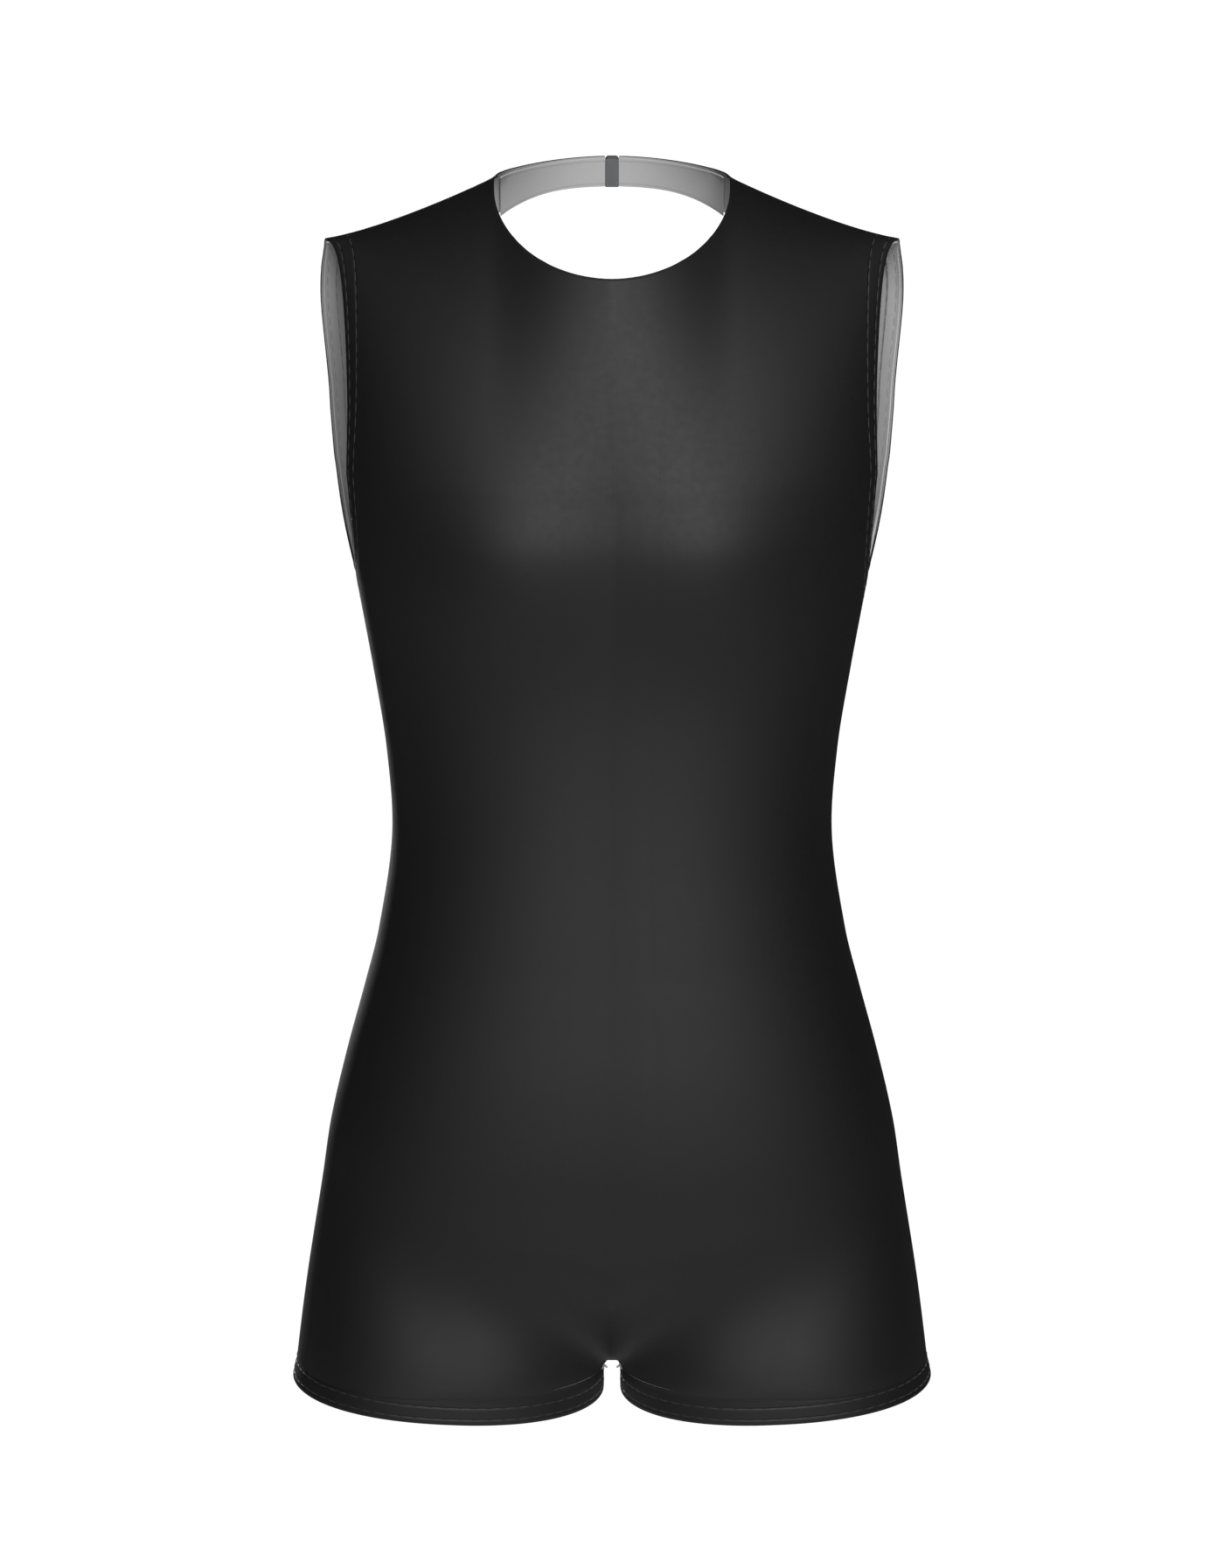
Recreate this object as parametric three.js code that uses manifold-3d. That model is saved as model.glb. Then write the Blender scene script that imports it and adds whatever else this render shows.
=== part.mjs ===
// A gymnastics leotard with short legs, in the shape that it has when it is worn.
//
// Millimetres, +Z up. x = 0 is the plane between its two sides, +X is the wearer's left and the
// front faces -Y. z = 0 is the height of the leg hems at their inner sides. A keyhole in the back is
// closed at the nape by a clasp between two ends of the neckband, and both ends swing back when it
// is undone.
import * as THREE from 'three'
import { mergeVertices } from 'three/addons/utils/BufferGeometryUtils.js'
import Module from 'manifold-3d'

const wasm = await Module()
wasm.setup()

// ---------------------------------------------------------------- driving sizes

const LENGTH = 673 // leg hem to the point where shoulder and neck meet
const WIDTH = 353 // over both leg hems
const DEPTH = 220 // chest to seat

const FABRIC = 0.8 // the stretch knit
const LAYER_GAP = 0.3 // air between two layers, and across a seam
const ELASTIC = 0.6

const HEM_WIDTH = 9.5 // turned hem of legs and armholes
const ELASTIC_WIDTH = 6
const SEAM_WIDTH = 6 // sewn allowance inside each seam

const LEG_GAP = 9 // between the two legs
const CROTCH_HEIGHT = 19.4
const CROTCH_RISE = 78 // height over which the two legs become one trunk
const HEM_RISE = 8.7 // how far a leg hem rises from its inner to its outer side
const HEM_TIP = 0.02 // slope of a leg hem, up towards the front
const LEG_SLIM = 0.97 // depth of a leg at the hem, as a share of the form's
const GAP_CLOSES = 0.7 // share of the crotch height at which the gap begins to close

const ROOF_START = 0.7727 * LENGTH // where chest and back begin to close over the shoulders
const SHOULDER_Y = 8 // the shoulder seam lies a little behind the side seam
const SHOULDER_TIP_X = 0.4448 * WIDTH
const SHOULDER_TIP_Z = 0.9522 * LENGTH
const SHOULDER_DIP = 1.42 // 1 is a straight shoulder line, more hangs down between neck and tip
const NECK_X = 0.18 * WIDTH // half the width of the neck hole
const NECK_RISE = 50 // the body form runs up into a neck, inside the neck hole
const NECK_DROP = 41 // depth of the front neckline
const NECK_TOP = LENGTH - 2 // where the front neckline is widest
const NAPE_TOP = LENGTH + 5.9
const NAPE_SIDE = LENGTH + 1.4 // the band's top edge where it meets the shoulder seams
const BAND_HEIGHT = 16 // neckband at the nape

const ARMHOLE_TILT = 30 // degrees that the armhole looks up from level
const ARMHOLE_ABOVE = 2.5 // the outline's top over the shoulder tip, across the tilted armhole
const ARMHOLE_HEIGHT = 0.2273 * LENGTH
const ARMHOLE_WIDTH = 0.3636 * DEPTH
const ARMHOLE_LEAN = 0.03
const ARMHOLE_Y = 4
const BACK_SPREAD = 0.125 // extra half width over the shoulder blades

const KEYHOLE_WIDTH = 0.4986 * WIDTH
const KEYHOLE_BOTTOM = 0.6538 * LENGTH
const KEYHOLE_WIDEST = 0.832 * LENGTH // height at which it is widest
const KEYHOLE_ARCH = 3.1 // roundness of its top, squarer than that of its bottom
const KEYHOLE_CUP = 2.2

const BAND_ROOT_X = 0.787 * NECK_X // where each neckband end bends when it swings back
const BAND_GAP = 0.6 // from each end of the band to the clasp

const CLASP_WIDTH = 7.3
const CLASP_HEIGHT = 17
const CLASP_THICK = 4.4
const CLASP_PROUD = 0.3 // how far it stands out of the band
const CLASP_CHAMFER = 1.2
const CLASP_WALL = 0.9 // plastic over the slot
const TONGUE_HEIGHT = 9.4
const TONGUE_THICK = 0.8
const TONGUE_PLAY = 0.6 // slot to tongue, all round
const TONGUE_REACH = 4.4 // how far the tongue enters the slot
const TAB_REACH = 5 // how far each half is sewn under its band end
const EDGE_MARGIN = 1.5 // from a clean edge to the elastic behind it

// The body form: [height, half width, front depth, back depth], each a share of the overall size.
const FORM = [
  [0.0, 0.504, 0.425, 0.423],
  [0.09, 0.482, 0.425, 0.480],
  [0.182, 0.454, 0.450, 0.527],
  [0.23, 0.440, 0.462, 0.536],
  [0.286, 0.415, 0.460, 0.505],
  [0.344, 0.385, 0.446, 0.442],
  [0.39, 0.363, 0.434, 0.391],
  [0.47, 0.341, 0.418, 0.350],
  [0.54, 0.348, 0.414, 0.373],
  [0.606, 0.367, 0.425, 0.414],
  [0.72, 0.405, 0.472, 0.448],
  [0.775, 0.420, 0.470, 0.450],
]
const BUST = {
  x: 0.165 * WIDTH, z: 0.715 * LENGTH, reach: 10, wide: 0.14 * WIDTH, tall: 0.0684 * LENGTH,
}
const TRUNK_SQUARE = 2.25 // 2 is an ellipse, more is squarer
const LEG_SQUARE = 2.2
const CHEST_ROUND = 1.6
const BACK_ROUND = 1.8

// The grid on which every layer of cloth is made: columns from one centre line round to the other,
// rows from the hem to the shoulder.
const COLUMNS = 8 // centre front to side seam, and again from there to centre back
const LEG_ROWS = [0, HEM_WIDTH / CROTCH_HEIGHT, 0.74, 0.9, 0.97, 1] // shares of the crotch height
const SADDLE_ROWS = [0.02, 0.1, 0.24, 0.44, 0.7, 1] // shares of the crotch rise
const TRUNK_STEPS = 11
const ROOF_ROWS = [0.12, 0.25, 0.39, 0.53, 0.67, 0.79, 0.9, 1] // shares of a quarter turn

// ---------------------------------------------------------------- body form

const mix = (a, b, t) => a + (b - a) * t
const clamp01 = (t) => Math.min(1, Math.max(0, t))
const smooth = (t) => clamp01(t) ** 2 * (3 - 2 * clamp01(t))

// A smooth curve through one column of FORM, at a height in millimetres.
function formSize(z, column, scale) {
  const share = Math.min(FORM.at(-1)[0], Math.max(FORM[0][0], z / LENGTH))
  let k = 0
  while (k < FORM.length - 2 && share > FORM[k + 1][0]) k += 1
  const slope = (i) => {
    const below = FORM[Math.max(0, i - 1)]
    const above = FORM[Math.min(FORM.length - 1, i + 1)]
    return (above[column] - below[column]) / (above[0] - below[0])
  }
  const step = FORM[k + 1][0] - FORM[k][0]
  const t = (share - FORM[k][0]) / step
  const bend = t * t * (3 - 2 * t)
  const lift = t * (1 - t) * (1 - t) * step * slope(k) - t * t * (1 - t) * step * slope(k + 1)
  return scale * (mix(FORM[k][column], FORM[k + 1][column], bend) + lift)
}

// The point of a superellipse with half axes of 1 at an angle.
function squircle(angle, power) {
  const c = Math.cos(angle)
  const s = Math.sin(angle)
  const r = (Math.abs(c) ** power + Math.abs(s) ** power) ** (-1 / power)
  return [r * c, r * s]
}

// Height of the shoulder line, which runs up into the neck inside the neck hole.
function shoulderHeight(x) {
  const fromTip = Math.max(0, SHOULDER_TIP_X - x) / (SHOULDER_TIP_X - NECK_X)
  const neck = NECK_RISE * Math.max(0, 1 - (x / NECK_X) ** 2) ** 2
  return mix(SHOULDER_TIP_Z, LENGTH, fromTip ** SHOULDER_DIP) + neck
}

// A leg hem is a flat cut that rises outwards and a little to the front.
function hemHeight(x, y) {
  return HEM_RISE * (x - LEG_GAP / 2) / (WIDTH / 2) - HEM_TIP * y
}

// The body form on the wearer's left. side runs from 0 at the centre line to 1 at the side seam,
// front is -1 for the front and 1 for the back, and row is {leg}, {height} or {roof}.
function formPoint(side, front, row) {
  const z = row.leg !== undefined ? row.leg * CROTCH_HEIGHT : row.height ?? ROOF_START
  const half = formSize(z, 1, WIDTH)
  const deep = formSize(z, front < 0 ? 2 : 3, DEPTH)

  const closed = clamp01(((row.leg ?? 1) - GAP_CLOSES) / (1 - GAP_CLOSES))
  const inner = LEG_GAP / 2 * Math.max(0, 1 - closed ** 4) ** 0.25
  const [legX, legY] = squircle(Math.PI * (1 - side), LEG_SQUARE)
  const leg = [(half + inner) / 2 + (half - inner) / 2 * legX, deep * LEG_SLIM * legY]
  if (row.leg !== undefined) {
    const y = front * leg[1]
    const height = mix(hemHeight(leg[0], y), CROTCH_HEIGHT, row.leg)
    return new THREE.Vector3(leg[0], y, height)
  }

  const spread = side * Math.PI / 2
  const legAngle = Math.atan2(leg[0], Math.max(leg[1], 1e-6))
  const joined = clamp01((z - CROTCH_HEIGHT) / (mix(1, 1.6, side) * CROTCH_RISE))
  const turn = side < 1 ? mix(side === 0 ? 0 : legAngle, spread, smooth(joined * 0.7)) : Math.PI / 2
  const [trunkY, trunkX] = squircle(turn, TRUNK_SQUARE)
  const arch = Math.sqrt(1 - (1 - clamp01((z - CROTCH_HEIGHT) / CROTCH_RISE)) ** 2)
  const near = Math.max(0, 1 - side / 0.4) ** 2
  const merge = mix(smooth(joined), arch, near)
  let x = mix(leg[0], half * trunkX, merge)
  let y = front * mix(leg[1], deep * trunkY, merge)
  let height = z

  if (row.roof !== undefined) {
    const [level, up] = squircle(row.roof * Math.PI / 2, front < 0 ? CHEST_ROUND : BACK_ROUND)
    x = mix(half, SHOULDER_TIP_X, row.roof) * trunkX
    height = mix(ROOF_START, shoulderHeight(x), up)
    y = SHOULDER_Y * up + y * level
  }
  if (front < 0) {
    const away = ((x - BUST.x) / BUST.wide) ** 2 + ((height - BUST.z) / BUST.tall) ** 2
    y -= BUST.reach * Math.exp(-away) * (1 - (row.roof ?? 0))
  }
  const blade = smooth((height - 0.53 * LENGTH) / (0.34 * LENGTH)) * smooth(y / 40)
  x *= 1 + BACK_SPREAD * blade
  return new THREE.Vector3(x, y, height)
}

// ---------------------------------------------------------------- the grid of the left half

const rows = [
  ...LEG_ROWS.map((leg) => ({ leg })),
  ...SADDLE_ROWS.map((t) => ({ height: CROTCH_HEIGHT + t * CROTCH_RISE })),
]
const trunkStart = CROTCH_HEIGHT + CROTCH_RISE
for (let k = 1; k <= TRUNK_STEPS; k += 1) {
  rows.push({ height: mix(trunkStart, ROOF_START, k / TRUNK_STEPS) })
}
rows.push(...ROOF_ROWS.map((roof) => ({ roof })))

const CROTCH_ROW = LEG_ROWS.length - 1
const TOP_ROW = rows.length - 1
const SIDE = COLUMNS // the side seam's column
const LAST = 2 * COLUMNS // centre back's column

const form = rows.map((row) => {
  const line = []
  for (let c = 0; c <= LAST; c += 1) {
    const side = c <= SIDE ? c / COLUMNS : (LAST - c) / COLUMNS
    line.push(formPoint(side, c <= SIDE ? -1 : 1, row))
  }
  return line
})

// Outward directions at the grid's points, from the points around each of them.
const outward = form.map((line, r) => line.map((point, c) => {
  const leg = r < CROTCH_ROW
  const before = c > 0 ? line[c - 1] : leg ? line[LAST - 1] : mirrored(line[1])
  const after = c < LAST ? line[c + 1] : leg ? line[1] : mirrored(line[LAST - 1])
  const below = form[Math.max(0, r - 1)][c]
  const above = form[Math.min(TOP_ROW, r + 1)][c]
  const up = above.clone().sub(below)
  if (r === TOP_ROW) up.set(0, c <= SIDE ? 1 : -1, 0)
  const normal = after.clone().sub(before).cross(up).normalize()
  if (r === CROTCH_ROW && (c === 0 || c === LAST)) normal.set(0, 0, -1)
  if (r > CROTCH_ROW && (c === 0 || c === LAST)) normal.setX(0).normalize()
  return normal
}))

function mirrored(point) {
  return new THREE.Vector3(-point.x, point.y, point.z)
}

// A point at a depth below the form's surface. Columns and rows may be fractions, so that a narrow
// strip lies on the same flat facets as the panel over it.
function layerPoint(row, column, depth) {
  const r = Math.min(TOP_ROW - 1, Math.floor(row))
  const wrapped = column < 0 ? column + LAST : column > LAST ? column - LAST : column
  const c = Math.min(LAST - 1, Math.floor(wrapped))
  const at = (i, j) => form[i][j].clone().addScaledVector(outward[i][j], -depth)
  const low = at(r, c).lerp(at(r, c + 1), wrapped - c)
  const high = at(r + 1, c).lerp(at(r + 1, c + 1), wrapped - c)
  return low.lerp(high, row - r)
}

// ---------------------------------------------------------------- closed solids

function toManifold(points, faces) {
  const geometry = new THREE.BufferGeometry().setFromPoints(points)
  geometry.setIndex(faces.flat())
  return geometryToManifold(geometry)
}

function geometryToManifold(source) {
  const geometry = source.clone()
  geometry.deleteAttribute('normal')
  geometry.deleteAttribute('uv')
  const merged = mergeVertices(geometry, 1e-4)
  const index = Array.from(merged.index.array)
  const kept = []
  for (let i = 0; i < index.length; i += 3) {
    const [a, b, c] = index.slice(i, i + 3)
    if (a !== b && b !== c && c !== a) kept.push(a, b, c)
  }
  return new wasm.Manifold(new wasm.Mesh({
    numProp: 3,
    vertProperties: new Float32Array(merged.attributes.position.array),
    triVerts: new Uint32Array(kept),
  }))
}

// A closed sheet between two depths under the form. Its rows and columns are lists of grid places.
// move shifts a point, which opens the seams.
function sheet(rowList, columnList, outer, inner, options = {}) {
  const closed = options.closed ?? false
  const move = options.move ?? (() => {})
  const points = []
  const faces = []
  const wide = columnList.length
  const tall = rowList.length
  for (const depth of [outer, inner]) {
    for (const row of rowList) {
      for (const column of columnList) {
        const point = layerPoint(row, column, depth)
        move(point, row, column)
        points.push(point)
      }
    }
  }
  const id = (layer, r, c) => layer * wide * tall + r * wide + (closed ? c % wide : c)
  const quad = (a, b, c, d) => faces.push([a, b, c], [a, c, d])
  const across = closed ? wide : wide - 1
  for (let r = 0; r < tall - 1; r += 1) {
    for (let c = 0; c < across; c += 1) {
      quad(id(0, r, c), id(0, r, c + 1), id(0, r + 1, c + 1), id(0, r + 1, c))
      quad(id(1, r, c), id(1, r + 1, c), id(1, r + 1, c + 1), id(1, r, c + 1))
    }
  }
  for (let c = 0; c < across; c += 1) {
    quad(id(0, 0, c), id(1, 0, c), id(1, 0, c + 1), id(0, 0, c + 1))
    quad(id(0, tall - 1, c), id(0, tall - 1, c + 1), id(1, tall - 1, c + 1), id(1, tall - 1, c))
  }
  for (let r = 0; r < tall - 1 && !closed; r += 1) {
    quad(id(0, r, 0), id(0, r + 1, 0), id(1, r + 1, 0), id(1, r, 0))
    quad(id(0, r, wide - 1), id(1, r, wide - 1), id(1, r + 1, wide - 1), id(0, r + 1, wide - 1))
  }
  return toManifold(points, faces)
}

// An upright block over an outline of [across, height] pairs, seen along X or along Y.
function block(outline, axis, low, high) {
  const flat = outline.map(([a, b]) => new THREE.Vector2(a, b))
  const caps = THREE.ShapeUtils.triangulateShape(flat, [])
  const count = flat.length
  const place = (p, depth) => axis === 'x'
    ? new THREE.Vector3(depth, p.x, p.y)
    : new THREE.Vector3(p.x, depth, p.y)
  const points = [...flat.map((p) => place(p, low)), ...flat.map((p) => place(p, high))]
  const faces = []
  for (const [a, b, c] of caps) faces.push([a, c, b], [a + count, b + count, c + count])
  for (let k = 0; k < count; k += 1) {
    const next = (k + 1) % count
    faces.push([k, next, next + count], [k, next + count, k + count])
  }
  const turned = axis === 'x' ? faces : faces.map(([a, b, c]) => [a, c, b])
  return toManifold(points, turned)
}

const box = (x0, x1, y0, y1, z0, z1) => block([[x0, z0], [x1, z0], [x1, z1], [x0, z1]], 'y', y0, y1)
const mirror = (solid) => solid.mirror([1, 0, 0])
const join = (...solids) => solids.reduce((all, one) => all.add(one))

const count = (from, to) => Array.from({ length: to - from + 1 }, (_, k) => from + k)
const FAR = LENGTH // past the garment on every side

// ---------------------------------------------------------------- outlines of the openings

const OUTLINE_STEPS = 36

function oval(centre, half, power, grow = 0) {
  const outline = []
  for (let k = 0; k < OUTLINE_STEPS; k += 1) {
    const angle = 2 * Math.PI * (k + 0.5) / OUTLINE_STEPS
    const top = Math.sin(angle) > 0
    const [c, s] = squircle(angle, top ? power[0] : power[1])
    const tall = (top ? half[1] : half[2]) + grow
    outline.push([centre[0] + (half[0] + grow) * c, centre[1] + tall * s])
  }
  return outline
}

// The armhole seen square on, larger all round by grow. It follows the shoulder tip.
function armhole(grow = 0) {
  const half = ARMHOLE_HEIGHT / 2
  const tilt = THREE.MathUtils.degToRad(ARMHOLE_TILT)
  const tip = Math.cos(tilt) * SHOULDER_TIP_Z - Math.sin(tilt) * SHOULDER_TIP_X
  const middle = tip + ARMHOLE_ABOVE - half
  const outline = oval([ARMHOLE_Y, middle], [ARMHOLE_WIDTH / 2, half, half], [1.6, 2.3], grow)
  const leaning = outline.map(([y, z]) => [y + ARMHOLE_LEAN * (z - middle), z])
  return block(leaning, 'x', LENGTH / 2, FAR * 2).rotate([0, -ARMHOLE_TILT, 0])
}

// The front neckline seen from the front. It has room above it for the whole neck.
function neckline(grow = 0) {
  const centre = [0, NECK_TOP]
  const half = [NECK_X, FAR, NECK_DROP]
  return block(oval(centre, half, [8, 2], grow), 'y', -FAR, SHOULDER_Y)
}

// Height of the neckband's top edge behind the shoulder seam.
function bandTop(x) {
  return mix(NAPE_TOP, NAPE_SIDE, clamp01(Math.abs(x) / NECK_X) ** 2)
}

function napeCut() {
  const outline = [[NECK_X, FAR * 2], [-NECK_X, FAR * 2]]
  for (let x = -NECK_X; x <= NECK_X + 1e-6; x += NECK_X / 8) outline.push([x, bandTop(x)])
  return block(outline, 'y', SHOULDER_Y, FAR)
}

// The keyhole seen from the back.
function keyhole(grow = 0) {
  const top = NAPE_TOP - BAND_HEIGHT - KEYHOLE_WIDEST
  const half = [KEYHOLE_WIDTH / 2, top, KEYHOLE_WIDEST - KEYHOLE_BOTTOM]
  const outline = oval([0, KEYHOLE_WIDEST], half, [KEYHOLE_ARCH, KEYHOLE_CUP], grow)
  return block(outline, 'y', SHOULDER_Y + DEPTH / 11, FAR)
}

// ---------------------------------------------------------------- panels

const seam = LAYER_GAP / 2
const allRows = count(0, TOP_ROW)

// The side, shoulder and inner leg seams, where front and back are pulled apart.
function onOpenSeam(row, column) {
  const onSeam = column === SIDE || row === TOP_ROW
  const onLeg = row <= CROTCH_ROW && (column === 0 || column === LAST)
  return onSeam || onLeg
}

function frontHalf(outer, inner, rowList = allRows) {
  const move = (point, row, column) => {
    if (onOpenSeam(row, column)) point.y -= seam
  }
  return sheet(rowList, count(0, SIDE), outer, inner, { move })
}

function backHalf(outer, inner, rowList = allRows) {
  const move = (point, row, column) => {
    if (onOpenSeam(row, column)) point.y += seam
    if (row >= CROTCH_ROW && column === LAST) point.x += seam
  }
  return sheet(rowList, count(SIDE, LAST), outer, inner, { move })
}

function frontPanel() {
  const left = frontHalf(0, FABRIC)
  const whole = join(left, mirror(left))
  return whole.subtract(neckline()).subtract(armhole()).subtract(mirror(armhole()))
}

// The back of one side with its holes, still in one piece with its end of the neckband.
function backWhole(outer, inner, grow = 0) {
  return backHalf(outer, inner)
    .subtract(napeCut())
    .subtract(keyhole(grow))
    .subtract(armhole(grow))
}

const BAND_FOOT = KEYHOLE_WIDEST + DEPTH / 4 // under the neckband and inside the keyhole
const bandEnd = CLASP_WIDTH / 2 + BAND_GAP

function backPanel() {
  const band = box(-FAR, BAND_ROOT_X + seam, SHOULDER_Y, FAR, BAND_FOOT, FAR * 2)
  return backWhole(0, FABRIC).subtract(band)
}

function neckband() {
  const band = box(bandEnd, BAND_ROOT_X - seam, SHOULDER_Y, FAR, BAND_FOOT, FAR * 2)
  return backWhole(0, FABRIC).intersect(band)
}

// ---------------------------------------------------------------- hems and elastics

const elasticDepth = FABRIC + LAYER_GAP
const hemDepth = elasticDepth + ELASTIC + LAYER_GAP
const facingDepth = elasticDepth + TONGUE_THICK + 2 * LAYER_GAP
const ringColumns = count(0, LAST - 1)

// Grid row at a distance above the leg hem's edge.
const hemRow = (distance) => distance / HEM_WIDTH

function legRing(from, to, outer, inner) {
  return sheet([hemRow(from), hemRow(to)], ringColumns, outer, inner, { closed: true })
}

const legHem = () => legRing(0, HEM_WIDTH, hemDepth, hemDepth + FABRIC)
const legElastic = () => {
  const low = (HEM_WIDTH - ELASTIC_WIDTH) / 2
  return legRing(low, low + ELASTIC_WIDTH, elasticDepth, elasticDepth + ELASTIC)
}

// A ring round the armhole, cut out of one layer of the whole half of the garment.
function armholeRing(from, to, outer, inner) {
  const layer = join(
    sheet(allRows, count(0, SIDE), outer, inner),
    sheet(allRows, count(SIDE, LAST), outer, inner),
  )
  const neck = box(-FAR, NECK_X + HEM_WIDTH, -FAR, FAR, 0, FAR * 2)
  return layer.intersect(armhole(to)).subtract(armhole(from)).subtract(neck)
}

const armholeHem = () => armholeRing(0, HEM_WIDTH, hemDepth, hemDepth + FABRIC)
const armholeElastic = () => {
  const low = (HEM_WIDTH - ELASTIC_WIDTH) / 2
  return armholeRing(low, low + ELASTIC_WIDTH, elasticDepth, elasticDepth + ELASTIC)
}

// Elastic behind the front neckline's clean edge.
function neckElastic() {
  const half = frontHalf(elasticDepth, elasticDepth + ELASTIC)
  const whole = join(half, mirror(half))
  return whole.intersect(neckline(EDGE_MARGIN + ELASTIC_WIDTH)).subtract(neckline(EDGE_MARGIN))
}

// Elastic along the keyhole's edge, from one neckband root down and up to the other.
function keyholeElastic() {
  const half = sheet(allRows, count(SIDE, LAST), elasticDepth, elasticDepth + ELASTIC)
  const whole = join(half, mirror(half))
  const top = box(-FAR, FAR, -FAR, FAR, mix(KEYHOLE_WIDEST, NAPE_TOP, 1 / 3), FAR * 2)
  return whole
    .intersect(keyhole(EDGE_MARGIN + ELASTIC_WIDTH))
    .subtract(keyhole(EDGE_MARGIN))
    .subtract(top)
}

// Elastic inside one end of the neckband. The band curves down from the nape, so it lies low in it.
function bandElastic() {
  const low = NAPE_TOP - BAND_HEIGHT + ELASTIC_WIDTH / 2
  const end = bandEnd + TAB_REACH + LAYER_GAP
  const strip = box(end, BAND_ROOT_X - HEM_WIDTH, SHOULDER_Y, FAR, low, low + ELASTIC_WIDTH)
  return backHalf(elasticDepth, elasticDepth + ELASTIC).intersect(strip)
}

// The inner cloth of one end of the neckband, which covers its elastic and the clasp's tab.
function bandFacing() {
  const inner = facingDepth + FABRIC
  const strip = box(bandEnd, BAND_ROOT_X - inner, SHOULDER_Y, FAR, BAND_FOOT, FAR * 2)
  return backWhole(facingDepth, inner).intersect(strip)
}

// ---------------------------------------------------------------- seams and lining

const seamDepth = elasticDepth
const facet = WIDTH / 2 * Math.PI / LAST // rough width of one column at the side
const seamColumns = SEAM_WIDTH / 2 / facet

const OVER_HEM = 1.3 // grid row just above the leg hems, whose top is row 1
const hemClear = HEM_WIDTH + LAYER_GAP
const edgeClear = EDGE_MARGIN + ELASTIC_WIDTH + 1

function sideSeam() {
  const list = [OVER_HEM, ...count(2, TOP_ROW - 1)]
  const columns = [SIDE - seamColumns, SIDE, SIDE + seamColumns]
  return sheet(list, columns, seamDepth, seamDepth + FABRIC).subtract(armhole(hemClear))
}

const SHOULDER_SHARE = 0.45 // of the grid's top row: the width of half the shoulder seam

function shoulderSeam() {
  const list = [TOP_ROW - SHOULDER_SHARE, TOP_ROW]
  const columns = count(0, SIDE)
  const front = sheet(list, columns, seamDepth, seamDepth + FABRIC)
  const back = sheet(list, columns.map((c) => LAST - c).reverse(), seamDepth, seamDepth + FABRIC)
  return join(front, back)
    .subtract(armhole(hemClear))
    .intersect(box(NECK_X + edgeClear, FAR, -FAR, FAR, 0, FAR * 2))
}

function inseam() {
  const columns = [-seamColumns, 0, seamColumns]
  const list = [OVER_HEM, 2, 2 + (LEG_ROWS.length - 2) / 6]
  return sheet(list, columns, seamDepth, seamDepth + FABRIC)
}

// The centre back seam's allowance, from above the crotch to under the keyhole.
function centreBackSeam() {
  const list = count(CROTCH_ROW + SADDLE_ROWS.length, TOP_ROW - ROOF_ROWS.length)
  const half = sheet(list, [LAST - seamColumns, LAST], seamDepth, seamDepth + FABRIC)
  return join(half, mirror(half))
    .subtract(keyhole(edgeClear))
    .trimByPlane([0, 0, -1], -KEYHOLE_WIDEST)
}

// The lining of the crotch: it lies inside the seams, over the front and back of the saddle.
function crotchLining() {
  const outer = seamDepth + FABRIC + LAYER_GAP
  const inner = outer + ELASTIC
  const reach = [0, 1, 2]
  const list = count(CROTCH_ROW + 1, CROTCH_ROW + 5)
  const front = sheet(list, reach, outer, inner)
  return join(front, mirror(front))
}

// ---------------------------------------------------------------- the clasp at the nape

const napeHeight = NAPE_TOP - BAND_HEIGHT / 2
const claspCentre = CLASP_THICK / 2 - CLASP_PROUD
const slotHeight = TONGUE_HEIGHT + 2 * TONGUE_PLAY
const slotThick = CLASP_THICK - 2 * CLASP_WALL
const tongueDepth = claspCentre + TONGUE_THICK / 2 // of the tongue's inner face

// Where the middle of the back lies at a height between the grid's rows.
function napePoint(height) {
  let r = TOP_ROW - 1
  while (form[r][LAST].z > height) r -= 1
  const low = form[r][LAST]
  const high = form[r + 1][LAST]
  return low.clone().lerp(high, (height - low.z) / (high.z - low.z))
}

// The clasp is drawn flat: x across, y outwards from the band's face, z up, and then set on it.
function onNape(solid) {
  const low = napePoint(napeHeight - BAND_HEIGHT / 2)
  const high = napePoint(napeHeight + BAND_HEIGHT / 2)
  const lean = THREE.MathUtils.radToDeg(Math.atan2(low.y - high.y, high.z - low.z))
  const middle = napePoint(napeHeight)
  return solid.rotate([lean, 0, 0]).translate([0, middle.y, middle.z])
}

// The thin tab by which a half of the clasp is sewn in. It curves with the band.
function claspTab(start) {
  const low = napeHeight - TONGUE_HEIGHT / 2
  const reach = box(start, bandEnd + TAB_REACH, SHOULDER_Y, FAR, low, low + TONGUE_HEIGHT)
  return backHalf(elasticDepth, elasticDepth + TONGUE_THICK).intersect(reach)
}

function claspEye() {
  const w = CLASP_WIDTH / 2
  const h = CLASP_HEIGHT / 2
  const c = CLASP_CHAMFER
  const outline = [[-w, -h], [w, -h], [w, h - c], [w - c, h], [c - w, h], [-w, h - c]]
  const inside = -CLASP_THICK + CLASP_PROUD
  const body = block(outline, 'y', inside, CLASP_PROUD)
  const slotEnd = w - TONGUE_REACH - TONGUE_PLAY
  const slot = box(slotEnd, w + 1, -claspCentre - slotThick / 2, -claspCentre + slotThick / 2,
    -slotHeight / 2, slotHeight / 2)
  return join(onNape(body.subtract(slot)), mirror(claspTab(w - BAND_GAP)))
}

function claspHook() {
  const half = TONGUE_HEIGHT / 2
  const outer = -tongueDepth + TONGUE_THICK
  const tongue = box(CLASP_WIDTH / 2 - TONGUE_REACH, bandEnd, -tongueDepth, outer, -half, half)
  return join(onNape(tongue), claspTab(CLASP_WIDTH / 2 + BAND_GAP / 3))
}

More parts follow.
